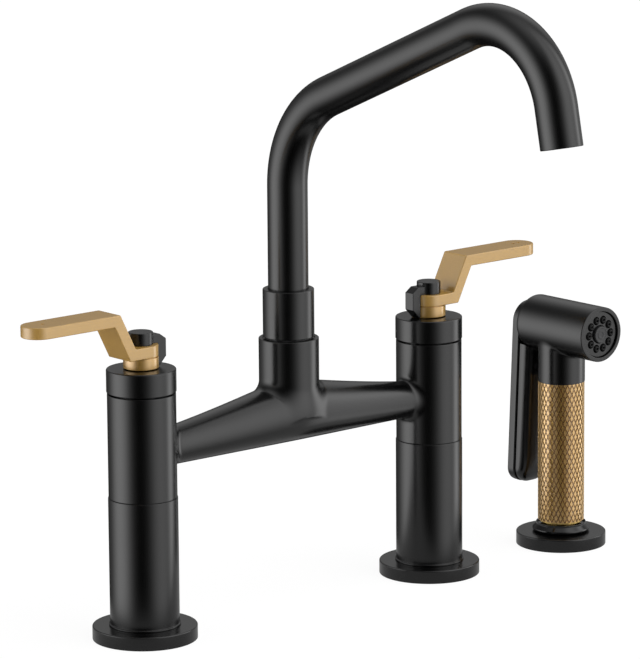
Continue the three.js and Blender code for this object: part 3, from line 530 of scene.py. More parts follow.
RELAX_ROUNDS = 4
RELAX_SHARE = 0.6  # how far a point moves to the middle of its neighbours in one round
CUT_BAND = 4  # how far below a cut its faces are looked for


def round_union(a, b, size):
    """Two distance fields joined by a fillet as a ball of that size would roll it."""
    corner = np.hypot(np.maximum(size - a, 0), np.maximum(size - b, 0))
    return np.maximum(size, np.minimum(a, b)) - corner


def slope_of(field, p):
    """The field's gradient at each point."""
    step = 0.01
    shifts = np.eye(3) * step
    return np.stack([(field(p + s) - field(p - s)) / (2 * step) for s in shifts], axis=1)


def onto(field, p, rounds=5):
    """The points moved along the gradient to where the field is zero."""
    for _ in range(rounds):
        slope = slope_of(field, p)
        steep = np.maximum((slope ** 2).sum(1), 0.05)
        p = p - slope * (field(p) / steep)[:, None]
    return p


def blended(raw, field, voxel):
    """The raw shells as one even skin that lies on the surface where the field is zero."""
    source = solid_object("raw", raw)
    remesh = source.modifiers.new("remesh", "REMESH")
    remesh.mode = "VOXEL"
    remesh.voxel_size = voxel * MM
    apply_modifiers(source)
    bm = bmesh.new()
    bm.from_mesh(source.data)
    bpy.data.objects.remove(source)
    p = np.array([v.co for v in bm.verts]) / MM
    ends = np.array([[v.index for v in e.verts] for e in bm.edges])
    degree = np.bincount(ends.ravel(), minlength=len(p))[:, None]
    for _ in range(RELAX_ROUNDS):
        p = onto(field, p, 2)
        total = np.zeros_like(p)
        np.add.at(total, ends[:, 0], p[ends[:, 1]])
        np.add.at(total, ends[:, 1], p[ends[:, 0]])
        p = p * (1 - RELAX_SHARE) + total / degree * RELAX_SHARE
    p = onto(field, p)
    for v, co in zip(bm.verts, p):
        v.co = co
    return bm


def end_off(bm, foot, along, reach, corners):
    """Cuts a round end square and carries its rim on through the (radius, height, fillet) corners.

    Heights run along the outward direction from foot. The first corner is where the cut is made, the last
    one is on the axis, and nothing further than reach from the axis is touched.
    """
    corners = [tuple(point) for point in fillets(corners)]

    def height(co):
        return (co - foot).dot(along)

    def spoke(co):
        return co - foot - along * height(co)

    cut_at = corners[0][1]
    faces = [f for f in bm.faces if height(f.calc_center_median()) > cut_at - CUT_BAND
             and all(spoke(v.co).length < reach for v in f.verts)]
    edges = list({e for f in faces for e in f.edges})
    verts = list({v for f in faces for v in f.verts})
    bmesh.ops.bisect_plane(bm, geom=verts + edges + faces, plane_co=foot + along * cut_at, plane_no=along,
                           clear_outer=True)
    stray = [v for v in bm.verts if height(v.co) > cut_at + 0.01 and spoke(v.co).length < reach]
    bmesh.ops.delete(bm, geom=stray, context="VERTS")
    rim = [e for e in bm.edges if e.is_boundary
           and all(abs(height(v.co) - cut_at) < 0.01 and spoke(v.co).length < reach for v in e.verts)]
    for size, level in corners[1:]:
        grown = bmesh.ops.extrude_edge_only(bm, edges=rim)["geom"]
        rim = [e for e in grown if isinstance(e, bmesh.types.BMEdge)]
        for v in {v for e in rim for v in e.verts}:
            v.co = foot + along * level + spoke(v.co).normalized() * size
    bmesh.ops.pointmerge(bm, verts=list({v for e in rim for v in e.verts}),
                         merge_co=foot + along * corners[-1][1])


# The arms: round in section with a level underside. The same driving sizes as the CAD casting.
ARM_BOTTOM = 91.3
ARM_MID_R = 17.4
ARM_END_R = 9.3
ARM_CROWN = 6
ARM_CURVE = 1.3
BODY_FILLET = 3.2
SOCKET_FILLET = 4.6
SOCKET_R = 16.3
BODY_R = 18.2
BODY_EDGE = 0.35
CUT_BELOW = 0.8  # how far below a body's face its end is cut off and drawn anew
VALVE_BORE = 13
VALVE_FLOOR = 100
SHANK_ROOM = 14.3
SHANK_ROOF = 92
SOCKET_LEDGE_R = 14.1
SOCKET_LEDGE = 0.6  # depth
SOCKET_BORE = 12.5
SOCKET_FLOOR = 118


def arm_radius(x):
    t = np.hypot(x, ARM_CROWN) / hypot(HALF_ROW, ARM_CROWN)
    return ARM_END_R + (ARM_MID_R - ARM_END_R) * (1 - np.minimum(t, 1)) ** ARM_CURVE


def bridge_casting():
    seam = low("bridge_casting").z
    top = low("hot_cap").z
    socket_top = high("bridge_casting").z
    middle = ARM_BOTTOM + ARM_MID_R

    def arms(p):
        r = arm_radius(p[:, 0])
        y, z = p[:, 1], p[:, 2] - ARM_BOTTOM - r
        q = np.maximum(np.hypot(y, z), 1e-6)
        growth = (arm_radius(p[:, 0] + 0.01) - arm_radius(p[:, 0] - 0.01)) / 0.02
        return (q - r) / np.sqrt(1 + (growth * (1 + z / q)) ** 2)

    def field(p):
        post = np.maximum(np.hypot(p[:, 0], p[:, 1]) - SOCKET_R, middle - p[:, 2])
        between = np.maximum(arms(p), np.abs(p[:, 0]) - HALF_ROW)
        whole = round_union(between, post, SOCKET_FILLET)
        bodies = np.hypot(np.abs(p[:, 0]) - HALF_ROW, p[:, 1]) - BODY_R
        return round_union(whole, bodies, BODY_FILLET)

    stations = np.linspace(-HALF_ROW, HALF_ROW, 61)
    rings = []
    for x in stations:
        r = float(arm_radius(x))
        rings.append([Vector((x, r * cos(t), ARM_BOTTOM + r + r * sin(t))) for t in full_turn(48)])
    ends = [[Vector((x, 0, ARM_BOTTOM + ARM_END_R))] for x in (-HALF_ROW, HALF_ROW)]
    arm_shell = skin([ends[0]] + rings + [ends[1]])
    margin = 6
    body_shell = rod(BODY_R, seam - margin, top + margin)
    raw = together(
        arm_shell,
        moved(body_shell, Matrix.Translation((-HALF_ROW, 0, 0))),
        moved(body_shell, Matrix.Translation((HALF_ROW, 0, 0))),
        rod(SOCKET_R, middle, socket_top + margin),
    )
    bm = blended(raw, field, voxel=0.9)
    up = Vector((0, 0, 1))
    reach = 25
    for x in (-HALF_ROW, HALF_ROW):
        foot = Vector((x, 0, 0))
        end_off(bm, foot, up, reach, [
            (BODY_R, top - CUT_BELOW),
            (BODY_R, top, BODY_EDGE),
            (VALVE_BORE, top),
            (VALVE_BORE, VALVE_FLOOR),
            (0, VALVE_FLOOR),
        ])
        end_off(bm, foot, -up, reach, [
            (BODY_R, -seam - CUT_BELOW),
            (BODY_R, -seam, BODY_EDGE),
            (SHANK_ROOM, -seam),
            (SHANK_ROOM, -SHANK_ROOF),
            (0, -SHANK_ROOF),
        ])
    end_off(bm, Vector((0, 0, 0)), up, reach, [
        (SOCKET_R, socket_top - 1),
        (SOCKET_R, socket_top, 0.5),
        (SOCKET_LEDGE_R, socket_top, 0.2),
        (SOCKET_LEDGE_R, socket_top - SOCKET_LEDGE),
        (SOCKET_BORE, socket_top - SOCKET_LEDGE),
        (SOCKET_BORE, SOCKET_FLOOR),
        (0, SOCKET_FLOOR),
    ])
    make("casting", from_bmesh(bm), "base", BLACK, ["bridge_casting"])


bridge_casting()


# ---- Bodies ----

RIM_WIDTH = 1.4  # of a flange outside its gasket's groove
SEAL_GROOVE = 3
SEAL_GROOVE_DEPTH = 1.4
GASKET_WIDTH = 1.8
GASKET_HEIGHT = 1.3
FREE_FIT = 0.3  # between a bore and what stands in it
SLEEVE_ROOM = 0.7  # more of it between a shank and the sleeve round it
BEAD = 0.6  # the column's foot stands this far out
BEAD_HEIGHT = 0.9
CAP_ROOM = 13.6  # the cap's bore, round the bonnet nut
CAP_ROOF = 4  # thickness of the cap over that bore
CAP_GROOVE_DEPTH = 3.6
CAP_GROOVE = 1  # height of the shadow groove under the cap


def flange(name, node, gasket_node, bore):
    r, top = radius(node), high(node).z
    groove = r - RIM_WIDTH
    shape = lathe([
        (bore, 0),
        (groove - SEAL_GROOVE, 0),
        (groove - SEAL_GROOVE, SEAL_GROOVE_DEPTH),
        (groove, SEAL_GROOVE_DEPTH),
        (groove, 0),
        (r, 0, 0.2),
        (r, top, 0.7),
        (bore, top),
    ])
    make(name, moved(shape, standing(node)), "base", BLACK, [node])
    seal = radius(gasket_node)
    ring = lathe([
        (seal - GASKET_WIDTH, 0),
        (seal, 0),
        (seal, GASKET_HEIGHT, 0.3),
        (seal - GASKET_WIDTH, GASKET_HEIGHT, 0.3),
    ])
    make(name + "_seal", moved(ring, standing(gasket_node)), "base", RUBBER, [gasket_node])


def valve_body(side):
    shank_bore = radius(f"{side}_shank") + FREE_FIT
    flange(f"{side}_foot", f"{side}_flange", f"{side}_flange_gasket", shank_bore)
    node = f"{side}_sleeve"
    foot, seam, r = low(node).z, high(node).z, radius(node)
    bore = shank_bore + SLEEVE_ROOM
    sleeve = lathe([
        (bore, foot),
        (r + BEAD, foot, 0.2),
        (r + BEAD, foot + BEAD_HEIGHT, 0.3),
        (r, foot + BEAD_HEIGHT + 0.3, 0.2),
        (r, seam, BODY_EDGE),
        (bore, seam),
    ])
    make(f"{side}_column", moved(sleeve, standing(node)), "base", BLACK, [node])
    node = f"{side}_cap"
    foot, top, r = low(node).z, high(node).z, radius(node)
    stem = radius(f"{side}_stem") + FREE_FIT
    cap = lathe([
        (CAP_ROOM, foot),
        (r - CAP_GROOVE_DEPTH, foot),
        (r - CAP_GROOVE_DEPTH, foot + CAP_GROOVE),
        (r, foot + CAP_GROOVE, 0.2),
        (r, top, 0.8),
        (stem, top, 0.2),
        (stem, top - CAP_ROOF),
        (CAP_ROOM, top - CAP_ROOF),
    ])
    make(f"{side}_collar", moved(cap, standing(node)), "base", BLACK, [node])


for side in ("hot", "cold"):
    valve_body(side)


# ---- Handles ----

STRAP = 6.2  # thickness of the lever
STRAP_EDGE = 0.55
LEG_FOOT = 14  # the leg leaves the tang's underside here, from the stem axis
LEG_HEAD = 23.9  # and meets the paddle's underside here
HUB_BORE = 4.3
HUB_GROOVE = 0.3  # height of the shadow groove under the tang
HUB_GROOVE_DEPTH = 0.8
TOUCH = 0.05  # between two pieces that lie on each other
DIMPLE_R = 1
DIMPLE_DEPTH = 0.3
DIMPLE_INSET = 8  # of the first dimple from the paddle's end
DIMPLE_STEP = 4
PRESS_FIT = 0.15
RETAINER_SHOULDER = 4.1  # chamfer at its top, along the row
RETAINER_SHOULDER_DROP = 2.9
RETAINER_FOOT = 4.5  # chamfer at its bottom, along the row
RETAINER_FOOT_RISE = 4.7
RETAINER_ARM_END = 5  # its arm stops this far from the stem axis


def lever_shape(reach, strap_half, tang, paddle):
    """A strap of one thickness with round ends, bent up along its leg and out again."""
    lean = atan2(LEG_HEAD - LEG_FOOT, paddle - tang)
    shift = STRAP * (1 - sin(lean)) / cos(lean)
    outer = reach - strap_half
    under = fillets([
        (0, tang),
        (LEG_FOOT, tang, 0.8),
        (LEG_HEAD, paddle, 1),
        (outer, paddle),
    ])
    over = fillets([
        (0, tang + STRAP),
        (LEG_FOOT - shift, tang + STRAP, 1),
        (LEG_HEAD - shift, paddle + STRAP, 1),
        (outer, paddle + STRAP),
    ])
    arc = [pi / 2 - pi * k / 24 for k in range(25)]

    def ring(inset, height):
        wide = strap_half - inset
        middle = [a.lerp(b, height / STRAP) for a, b in zip(under, over)]
        far = [Vector((outer + wide * cos(t), wide * sin(t), paddle + height)) for t in reversed(arc)]
        near = [Vector((-wide * cos(t), wide * sin(t), tang + height)) for t in arc]
        left = [Vector((p.x, wide, p.y)) for p in reversed(middle[1:-1])]
        right = [Vector((p.x, -wide, p.y)) for p in middle[1:-1]]
        return far + left + near + right

    steps = 5
    turns = [pi / 2 * k / steps for k in range(steps + 1)]
    lower = [(STRAP_EDGE * (1 - sin(t)), STRAP_EDGE * (1 - cos(t))) for t in turns]
    upper = [(inset, STRAP - height) for inset, height in reversed(lower)]
    rings = [ring(*pair) for pair in lower + upper]
    points, faces = skin(rings)
    count = len(rings[0])
    inner = len(under) - 2
    last = len(arc) - 1
    # Underside and top: quads between the strap's two sides, and one face for each round end.
    for base in (0, len(points) - count):
        left = [last] + list(range(last + 1, last + 1 + inner)) + [last + 1 + inner]
        right = [0] + list(range(count - 1, count - 1 - inner, -1)) + [count - inner - 1]
        for (a, b), (c, d) in zip(zip(left, left[1:]), zip(right, right[1:])):
            faces.append([base + a, base + b, base + d, base + c])
        faces.append([base + k for k in range(0, last + 1)])
        faces.append([base + k for k in range(last + 1 + inner, 2 * last + 2 + inner)])
    return points, faces


def farthest(node, axis):
    """How far a node reaches along the row from an upright axis."""
    return max(high(node).x - axis, axis - low(node).x)


def hub_ring(side, turn):
    hub = f"{side}_hub"
    foot, r = low(hub).z, radius(hub)
    top = low(f"{side}_lever").z - TOUCH
    shape = lathe([
        (HUB_BORE, foot),
        (r, foot, 0.45),
        (r, top - HUB_GROOVE, 0.15),
        (r - HUB_GROOVE_DEPTH, top - HUB_GROOVE),
        (r - HUB_GROOVE_DEPTH, top),
        (HUB_BORE, top),
    ])
    make(f"{side}_hub_ring", moved(shape, turn), f"{side}_handle", HUB_BRASS, [hub])


def bent_lever(side, turn, marks):
    """The lever, with a small round dimple at each of its marks."""
    lever = f"{side}_lever"
    reach = farthest(lever, centre(f"{side}_hub").x)
    strap_half = (high(lever).y - low(lever).y) / 2
    top = high(lever).z
    dimple = rod(DIMPLE_R, -DIMPLE_DEPTH, 1, 32)
    spots = [Matrix.Translation((reach - DIMPLE_INSET - DIMPLE_STEP * k, 0, top)) for k in marks]
    shape = lever_shape(reach, strap_half, low(lever).z, top - STRAP)
    make(f"{side}_paddle", moved(shape, turn), f"{side}_handle", LEVER_BRASS, [lever],
         cutters=[moved(dimple, turn @ spot) for spot in spots])


def pin_and_block(side, turn):
    pin, back, hub = f"{side}_pin_cap", f"{side}_retainer", f"{side}_hub"
    foot, top, r = low(pin).z, high(pin).z, radius(pin)
    cap = lathe([(0, foot), (r, foot), (r, top, 0.5), (0, top)], False, 64)
    make(f"{side}_pin", moved(cap, turn), f"{side}_handle", BLACK, [pin])
    bottom, top = low(back).z, high(back).z
    out = farthest(back, centre(hub).x)
    half = (high(back).y - low(back).y) / 2
    profile = fillets([
        (-out, top - RETAINER_SHOULDER_DROP, 0.4),
        (-out + RETAINER_SHOULDER, top, 0.4),
        (-RETAINER_ARM_END, top),
        (-RETAINER_ARM_END, bottom),
        (-out + RETAINER_FOOT, bottom, 0.4),
        (-out, bottom + RETAINER_FOOT_RISE, 0.4),
    ], True, 3)
    tang = low(f"{side}_lever").z
    hub_room = rod(radius(hub) + PRESS_FIT, bottom - 2, tang + STRAP + 2 * TOUCH)
    pin_room = rod(r + PRESS_FIT, tang, top + 1, 64)
    make(f"{side}_block", moved(slab(profile, half, 0.35), turn), f"{side}_handle", BLACK, [back],
         cutters=[moved(hub_room, turn), moved(pin_room, turn)])


def handle(side, facing, marks):
    """All that turns with one lever, drawn along +X and then turned by facing."""
    turn = standing(f"{side}_hub") @ Matrix.Rotation(facing, 4, "Z")
    hub_ring(side, turn)
    bent_lever(side, turn, marks)
    pin_and_block(side, turn)


handle("hot", pi, [1])
handle("cold", 0, [0, 1])


# ---- Spout ----

SPOUT_SEAT = 151.0
RISER_TOP = 231.3
LOWER_BEND = (56.6, 67.0)  # radius, degrees
SLOPE = 119.4
UPPER_BEND = (46.1, 101.5)
OUTLET = 20.6
SPOUT_R = radius("spout_tube")
SPOUT_BORE = SPOUT_R - 1.5
SPOUT_EDGE = 0.45
COLLAR_GAP = 0.7  # between the socket and the collar that turns on it
COLLAR_STEM_R = 11
COLLAR_STEM_FOOT = 120
COLLAR_BORE = 9


def spout_line():
    """Stations (point in YZ, heading) along the middle of the tube."""
    line = []
    point, heading = Vector((0, SPOUT_SEAT)), pi / 2

    def onward(length):
        return point + length * Vector((-cos(heading), sin(heading)))

    def bend(size, degrees, parts):
        nonlocal point, heading
        step = radians(degrees) / parts
        for _ in range(parts):
            middle = point + size * Vector((-sin(heading), -cos(heading)))
            heading -= step
            point = middle - size * Vector((-sin(heading), -cos(heading)))
            line.append((point.copy(), heading))

    line.append((point.copy(), heading))
    point = onward(RISER_TOP - SPOUT_SEAT)
    line.append((point.copy(), heading))
    bend(*LOWER_BEND, 28)
    point = onward(SLOPE)
    line.append((point.copy(), heading))
    bend(*UPPER_BEND, 40)
    point = onward(OUTLET)
    line.append((point.copy(), heading))
    return line


SPOUT_LINE = spout_line()
OUTLET_POINT, OUTLET_HEADING = SPOUT_LINE[-1]


def tube_ring(point, heading, r, shift=0.0):
    """A ring across the tube, that far on from a station."""
    point = point + shift * Vector((-cos(heading), sin(heading)))
    across = Vector((sin(heading), cos(heading)))
    return [Vector((r * cos(t), *(point + r * sin(t) * across))) for t in full_turn(96)]


def spout():
    outer = [tube_ring(point, heading, SPOUT_R) for point, heading in SPOUT_LINE[:-1]]
    inner = [tube_ring(point, heading, SPOUT_BORE) for point, heading in SPOUT_LINE[:-1]]
    lip = []
    for middle, first in ((SPOUT_R - SPOUT_EDGE, 0), (SPOUT_BORE + SPOUT_EDGE, pi / 2)):
        for k in range(6):
            t = first + pi / 2 * k / 5
            size = middle + SPOUT_EDGE * cos(t)
            lip.append(tube_ring(OUTLET_POINT, OUTLET_HEADING, size, SPOUT_EDGE * (sin(t) - 1)))
    make("spout_pipe", skin(outer + lip + inner[::-1], True), "spout", BLACK, ["spout_tube"])
    foot = high("bridge_casting").z + COLLAR_GAP
    top, r = high("spout_collar").z, radius("spout_collar")
    mouth = SPOUT_R + PRESS_FIT
    collar = lathe([
        (COLLAR_BORE, COLLAR_STEM_FOOT),
        (COLLAR_STEM_R, COLLAR_STEM_FOOT),
        (COLLAR_STEM_R, foot),
        (r, foot, 0.35),
        (r, top, 0.6),
        (mouth, top, 0.15),
        (mouth, SPOUT_SEAT),
        (COLLAR_BORE, SPOUT_SEAT),
    ])
    make("spout_ferrule", collar, "spout", BLACK, ["spout_collar"])


AERATOR_R = 7.2  # the insert, and the housing's bore
AERATOR_MOUTH = 7.7
AERATOR_TOP = 10  # of the housing, above the outlet's rim
AERATOR_SET_IN = 0.7
SCREEN_RINGS = (1.4, 2.8, 4.2, 5.6, 6.8)
SCREEN_BAR = 0.22  # half the width of a ring
SCREEN_SPOKES = 18


def aerator():
    """The housing screwed into the outlet, and its insert: rings and spokes over a fine floor."""
    place = (Matrix.Translation((0, OUTLET_POINT.x, OUTLET_POINT.y))
             @ Matrix.Rotation(pi / 2 - OUTLET_HEADING, 4, "X"))
    outside = SPOUT_BORE - 2 * TOUCH
    housing = lathe([
        (AERATOR_R, -AERATOR_TOP),
        (outside, -AERATOR_TOP),
        (outside, -AERATOR_SET_IN, 0.3),
        (AERATOR_MOUTH, -AERATOR_SET_IN, 0.3),
        (AERATOR_MOUTH, -2.4),
        (AERATOR_R, -2.4),
    ], segments=72)
    make("aerator_ring", moved(housing, place), "spout", BLACK, ["aerator_housing"])
    floor = rod(AERATOR_R - 2 * TOUCH, -8.6, -7.6, 72)
    root, rings_top, spokes_top = -7.7, -2.2, -2.5
    rings = [lathe([
        (r - SCREEN_BAR, root),
        (r + SCREEN_BAR, root),
        (r + SCREEN_BAR, rings_top, 0.1),
        (r - SCREEN_BAR, rings_top, 0.1),
    ], segments=72) for r in SCREEN_RINGS]
    first, last = 1.3, 7
    spoke = slab([Vector(corner) for corner in (
        (first, root),
        (last, root),
        (last, spokes_top),
        (first, spokes_top),
    )], 0.2, 0.05, 1)
    spokes = [moved(spoke, Matrix.Rotation(turn, 4, "Z")) for turn in full_turn(SCREEN_SPOKES)]
    screen = together(floor, *rings, *spokes)
    make("aerator_screen", moved(screen, place), "spout", PLASTIC, ["aerator_insert"])


spout()
aerator()


# ---- Sprayer base and holder ----

HOLDER_BORE = 9
HOLDER_SHANK_R = 11.6
HOLDER_LIP = 0.7  # of its mouth beyond the grip
HOLDER_RING = 0.3  # width of the ring round its mouth
HOLDER_FLOOR = 1.5  # depth of the mouth


def on_stand(shape):
    return moved(shape, STAND)


def holder():
    flange("sprayer_foot", "sprayer_base", "sprayer_base_gasket", HOLDER_SHANK_R + FREE_FIT)
    bottom, top = low("sprayer_holder").z, high("sprayer_holder").z
    deck_face = high("sprayer_base").z
    r = radius("sprayer_holder")
    mouth = radius("wand_grip") + HOLDER_LIP
    ring = mouth + HOLDER_RING
    floor = top - HOLDER_FLOOR
    rim = top - 0.4
    cone = lathe([
        (HOLDER_BORE, bottom),
        (HOLDER_SHANK_R, bottom),
        (HOLDER_SHANK_R, deck_face),
        (r - 2, deck_face, 0.2),
        (r, deck_face + 1.5, 1),
        (ring, floor, 0.3),
        (ring, rim, 0.25),
        (mouth, rim, 0.15),
        (mouth, floor),
        (HOLDER_BORE, floor),
    ], segments=128)
    make("holder_cone", on_stand(cone), "base", GLOSS, ["sprayer_holder"])


holder()


# ---- Wand ----

GRIP_WALL = 3
GRIP_STARTS = 32  # grooves each way round
DIAMOND_TALL = 5.55  # height of a diamond, from crossing to crossing
KNURL_DEPTH = 0.42
GROOVE_FLOOR = 0.05  # half a groove's width at its floor, as a share of a diamond
GROOVE_TOP = 0.17  # and at its top


def knurled_grip():
    """A crossed knurl: grooves with sloping sides, cut both ways, leave flat diamonds."""
    bottom, top, r = low("wand_grip").z, high("wand_grip").z, radius("wand_grip")
    lines = [
        (-GROOVE_FLOOR, KNURL_DEPTH),
        (GROOVE_FLOOR, KNURL_DEPTH),
        (GROOVE_TOP, 0),
        (1 - GROOVE_TOP, 0),
    ]
    count = len(lines)
    around = count * GRIP_STARTS
    made = {}
    bm = bmesh.new()

    def place(i, j):
        """How far a crossing of two lines lies along each set of grooves, and how deep."""
        (i_share, i_depth), (j_share, j_depth) = lines[i % count], lines[j % count]
        return i // count + i_share, j // count + j_share, max(i_depth, j_depth)

    def height(i, j):
        u, v, _ = place(i, j)
        return bottom + (u + v) * DIAMOND_TALL / 2

    def corner(i, j):
        if i == around:
            i, j = 0, j + around
        if (i, j) not in made:
            u, v, depth = place(i, j)
            turn = (u - v) * pi / GRIP_STARTS
            size = r - depth
            made[i, j] = bm.verts.new((size * cos(turn), size * sin(turn), height(i, j)))
        return made[i, j]

    margin = 3  # more than half a diamond, which the cuts below take off again
    more = count * 3
    for i in range(around):
        lowest = -i - more
        highest = int(2 * (top - bottom) / DIAMOND_TALL * count) - i + more
        for j in range(lowest, highest):
            if bottom - margin < height(i, j) < top + margin:
                bm.faces.new([corner(i, j), corner(i + 1, j), corner(i + 1, j + 1), corner(i, j + 1)])
    for along, level in ((Vector((0, 0, 1)), top), (Vector((0, 0, -1)), -bottom)):
        geom = list(bm.verts) + list(bm.edges) + list(bm.faces)
        bmesh.ops.bisect_plane(bm, geom=geom, plane_co=along * level, plane_no=along, clear_outer=True)
        rim = [e for e in bm.edges if e.is_boundary
               and all(abs(v.co.dot(along) - level) < 0.001 for v in e.verts)]
        grown = bmesh.ops.extrude_edge_only(bm, edges=rim)["geom"]
        for v in {v for v in grown if isinstance(v, bmesh.types.BMVert)}:
            v.co = Vector((v.co.x, v.co.y, 0)).normalized() * (r - GRIP_WALL) + along * level
    open_edges = [e for e in bm.edges if e.is_boundary]
    bmesh.ops.bridge_loops(bm, edges=open_edges)
    axis = STAND.translation * MM
    # Painted shade in the knurl's grooves, from just under the diamonds' tops down to the groove floor.
    groove = (axis, (r - KNURL_DEPTH) * MM, (r - 0.1) * MM)
    brass = satin_brass("knurl_brass", (900, 900, 900), 0.85, 0.36, groove)
    obj = make("knurled_grip", on_stand(from_bmesh(bm)), "wand", brass, ["wand_grip"], sharp=24)
    obj.modifiers.clear()  # even shading would blur the diamonds


HEAD_R = radius("wand_head")
HEAD_Z = high("wand_head").z - HEAD_R
HEAD_ROUNDING = 3.4
HEAD_BORE = 13.2
FACE_DEPTH = 8
NECK_R = 13.4
NECK_SOFTNESS = 0.9
CORE_BORE = 5.5
CORE_ROOF = 12  # below the head's axis
# Lays a turned shape on the head's axis, its heights running backwards.
LYING = Matrix.Translation((0, 0, HEAD_Z)) @ Matrix.Rotation(-pi / 2, 4, "X")


def behind_grip(y):
    """A depth in the frame as a distance behind the grip's axis."""
    return y - centre("sprayer_base").y


def wand_head():
    front, back = behind_grip(low("wand_head").y), behind_grip(high("wand_head").y)
    neck_foot = low("wand_head").z

    def field(p):
        out = np.hypot(p[:, 0], p[:, 2] - HEAD_Z) - (HEAD_R - HEAD_ROUNDING)
        deep = p[:, 1] - (back - HEAD_ROUNDING)
        outside = np.hypot(np.maximum(out, 0), np.maximum(deep, 0))
        barrel = outside + np.minimum(np.maximum(out, deep), 0) - HEAD_ROUNDING
        neck = np.maximum(np.hypot(p[:, 0], p[:, 1]) - NECK_R, p[:, 2] - HEAD_Z)
        return round_union(barrel, neck, NECK_SOFTNESS)

    margin = 6
    barrel = lathe([
        (0, front - margin),
        (HEAD_R, front - margin),
        (HEAD_R, back, HEAD_ROUNDING),
        (0, back),
    ], False)
    neck = rod(NECK_R, neck_foot - margin, HEAD_Z)
    bm = blended(together(moved(barrel, LYING), neck), field, voxel=0.7)
    reach = 20
    end_off(bm, Vector((0, 0, HEAD_Z)), Vector((0, -1, 0)), reach, [
        (HEAD_R, -front - 1.2),
        (HEAD_R, -front, 0.5),
        (HEAD_BORE, -front, 0.3),
        (HEAD_BORE, -front - FACE_DEPTH),
        (0, -front - FACE_DEPTH),
    ])
    end_off(bm, Vector((0, 0, 0)), Vector((0, 0, -1)), reach, [
        (NECK_R, -neck_foot - 1),
        (NECK_R, -neck_foot, 0.25),
        (CORE_BORE, -neck_foot),
        (CORE_BORE, -HEAD_Z + CORE_ROOF),
        (0, -HEAD_Z + CORE_ROOF),
    ])
    make("sprayer_head", on_stand(from_bmesh(bm)), "wand", BLACK, ["wand_head"])


PLATE_R = 13
PAD_R = 12.6
BUTTON_R = 4.8
BUTTON_ROOM = 0.3
NOZZLES = 10
NOZZLE_RING = 8.4
NOZZLE_R = 1.95
NOZZLE_HOLE_R = 2.4
JET_R = 0.55
JET_DEPTH = 1.4


def spray_face():
    """Plate, nozzles and button. Heights run backwards along the head's axis."""
    face, rear = behind_grip(low("spray_plate").y), behind_grip(high("spray_plate").y)
    tip, floor = behind_grip(low("nozzle_pad").y), behind_grip(high("nozzle_pad").y)
    proud = behind_grip(low("spray_button").y)
    lie = STAND @ LYING
    inner = BUTTON_R + BUTTON_ROOM
    spots = [Matrix.Translation((NOZZLE_RING * cos(t), NOZZLE_RING * sin(t), 0))
             for t in full_turn(NOZZLES)]
    plate = lathe([
        (inner, rear),
        (PLATE_R, rear),
        (PLATE_R, face, 0.4),
        (inner, face, 0.3),
    ])
    hole = rod(NOZZLE_HOLE_R, face - 2, rear + 2, 32)
    holes = [moved(hole, lie @ spot) for spot in spots]
    make("spray_disc", moved(plate, lie), "wand", BLACK, ["spray_plate"], cutters=[together(*holes)])
    pad_front = rear + 0.2
    pad = lathe([
        (inner, pad_front),
        (PAD_R, pad_front),
        (PAD_R, floor),
        (inner, floor),
    ])
    nozzle = lathe([
        (0, tip + JET_DEPTH),
        (JET_R, tip + JET_DEPTH),
        (JET_R, tip + 0.35, 0.1),
        (JET_R + 0.4, tip, 0.2),
        (JET_R + 0.8, tip + 0.1, 0.25),
        (NOZZLE_R - 0.1, face - 0.2, 0.3),
        (NOZZLE_R, rear, 0.1),
        (NOZZLE_R, rear + 1),
        (0, rear + 1),
    ], False, 32)
    tips = [moved(nozzle, spot) for spot in spots]
    make("spray_nozzles", moved(together(pad, *tips), lie), "wand", RUBBER, ["nozzle_pad"])
    sunk = proud + 0.12  # the two shallow rings on the button
    button = lathe([
        (0, sunk),
        (1.2, sunk, 0.1),
        (1.5, proud, 0.15),
        (2.4, proud, 0.15),
        (2.7, sunk, 0.1),
        (3.6, sunk, 0.1),
        (3.9, proud, 0.15),
        (BUTTON_R, proud, 0.5),
        (BUTTON_R, floor),
        (0, floor),
    ], False, 64)
    make("spray_knob", moved(button, lie), "wand", PLASTIC, ["spray_button"])


knurled_grip()
wand_head()
spray_face()


# ---- Trigger ----

PIVOT_Y = 20
PIVOT_Z = 117.6
TRIGGER_TILT = radians(2.8)
TRIGGER_BOTTOM = 86.2  # below the pivot, along the trigger
TRIGGER_HALF = 11
TRIGGER_BACK = 9.6  # back face, behind the pivot
TRIGGER_PLATE = 5.6
TRIGGER_DEPTH = 14  # plate and finger bar together
TRIGGER_CORNER = 8.5
TRIGGER_EDGE = 0.9
FINGER_INSET = 0.3  # of the bar inside the plate's outline
FINGER_TAPER = 2.4  # each side comes in this much from the groove to the nose
FINGER_BEND = 0.45  # where a side starts to come in, as a share of the bar's depth
FINGER_SWELL = 7  # radius there
FINGER_ROUND = 4  # radius at the nose
FINGER_CHIN = 18  # height over which the bar's lower end curves back to the plate
FINGER_GROOVE = 1.3  # between plate and finger bar
FINGER_GROOVE_DEPTH = 1.2
HEAD_ABOVE = HEAD_Z - PIVOT_Z
HEAD_ROOM = 0.6  # between the bar's upper end and the head
TRIGGER = STAND @ Matrix.Translation((0, PIVOT_Y, PIVOT_Z)) @ Matrix.Rotation(TRIGGER_TILT, 4, "X")


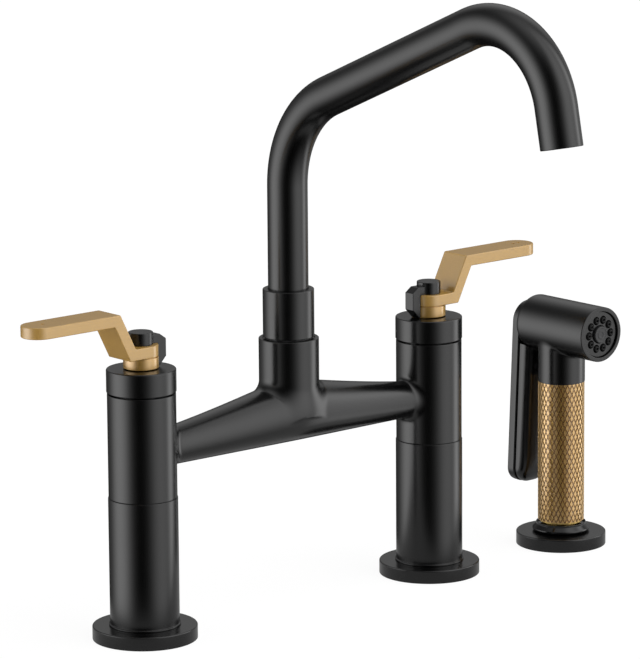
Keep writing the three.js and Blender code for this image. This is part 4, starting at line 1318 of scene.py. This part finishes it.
def trigger_plate():
    steps = 24
    top = [Vector((TRIGGER_HALF * cos(pi * k / steps), HEAD_ABOVE + TRIGGER_HALF * sin(pi * k / steps)))
           for k in range(steps + 1)]
    low_corners = fillets([
        (-TRIGGER_HALF, HEAD_ABOVE),
        (-TRIGGER_HALF, -TRIGGER_BOTTOM, TRIGGER_CORNER),
        (TRIGGER_HALF, -TRIGGER_BOTTOM, TRIGGER_CORNER),
        (TRIGGER_HALF, HEAD_ABOVE),
    ], False, 12)[1:-1]
    plate = slab(top + low_corners, TRIGGER_PLATE / 2, TRIGGER_EDGE)
    lift = Matrix.Translation((0, TRIGGER_BACK - TRIGGER_PLATE / 2, 0))
    make("trigger_back", moved(plate, TRIGGER @ lift), "trigger", BLACK, ["trigger_plate"])


def trigger_bar():
    """The finger bar: rounded towards the grip, necked at the groove, curved back at its lower end."""
    back = TRIGGER_BACK - TRIGGER_PLATE
    shelf = back - FINGER_GROOVE
    depth = TRIGGER_DEPTH - TRIGGER_PLATE - FINGER_GROOVE
    wide = TRIGGER_HALF - FINGER_INSET
    bottom = TRIGGER_BOTTOM - FINGER_INSET

    def arc(share):
        """How far out a quarter circle stands at that share of its height from the end."""
        return sqrt(max(1 - (1 - min(share, 1)) ** 2, 0))

    def section(level):
        """The outline across the bar at that distance below the pivot."""
        half = wide - TRIGGER_CORNER * (1 - arc((bottom - level) / TRIGGER_CORNER))
        reach = arc((TRIGGER_BOTTOM - level) / FINGER_CHIN)
        nose = shelf - depth * reach
        bend = shelf - depth * reach * FINGER_BEND
        neck = half - FINGER_GROOVE_DEPTH
        right = [
            (half - FINGER_TAPER * reach, nose, FINGER_ROUND * reach),
            (half, bend, FINGER_SWELL * reach),
            (half, shelf),
            (neck, shelf),
            (neck, back),
        ]
        left = [(-x, *rest) for x, *rest in reversed(right)]
        return [Vector((p.x, p.y, -level)) for p in fillets(left + right, True, 10)]

    straight = [-2, 20, 45, bottom - FINGER_CHIN - 0.5]
    curved = [bottom - FINGER_CHIN * (1 - sin(pi / 2 * k / 24)) for k in range(24)]
    levels = straight + curved + [bottom - 0.35, bottom - 0.12, bottom - 0.02]
    rings = [section(level) for level in levels]
    points, faces = skin(rings)
    count = len(rings[0])
    faces.append(list(range(count)))
    faces.append(list(range(len(points) - count, len(points))))
    lie = TRIGGER @ Matrix.Translation((0, 0, HEAD_ABOVE)) @ Matrix.Rotation(-pi / 2, 4, "X")
    room = moved(rod(HEAD_R + HEAD_ROOM, -20, 20), lie)
    make("trigger_grip", moved((points, faces), TRIGGER), "trigger", BLACK, ["trigger_bar"],
         cutters=[room])


trigger_plate()
trigger_bar()


# ---- The pieces that keep their CAD shape ----

def dress_frame():
    for part in frame["record"]["subparts"]:
        for slot in NODES[part["node"]].material_slots:
            slot.material = SLOT_LOOKS[part["material_slot"]]


dress_frame()
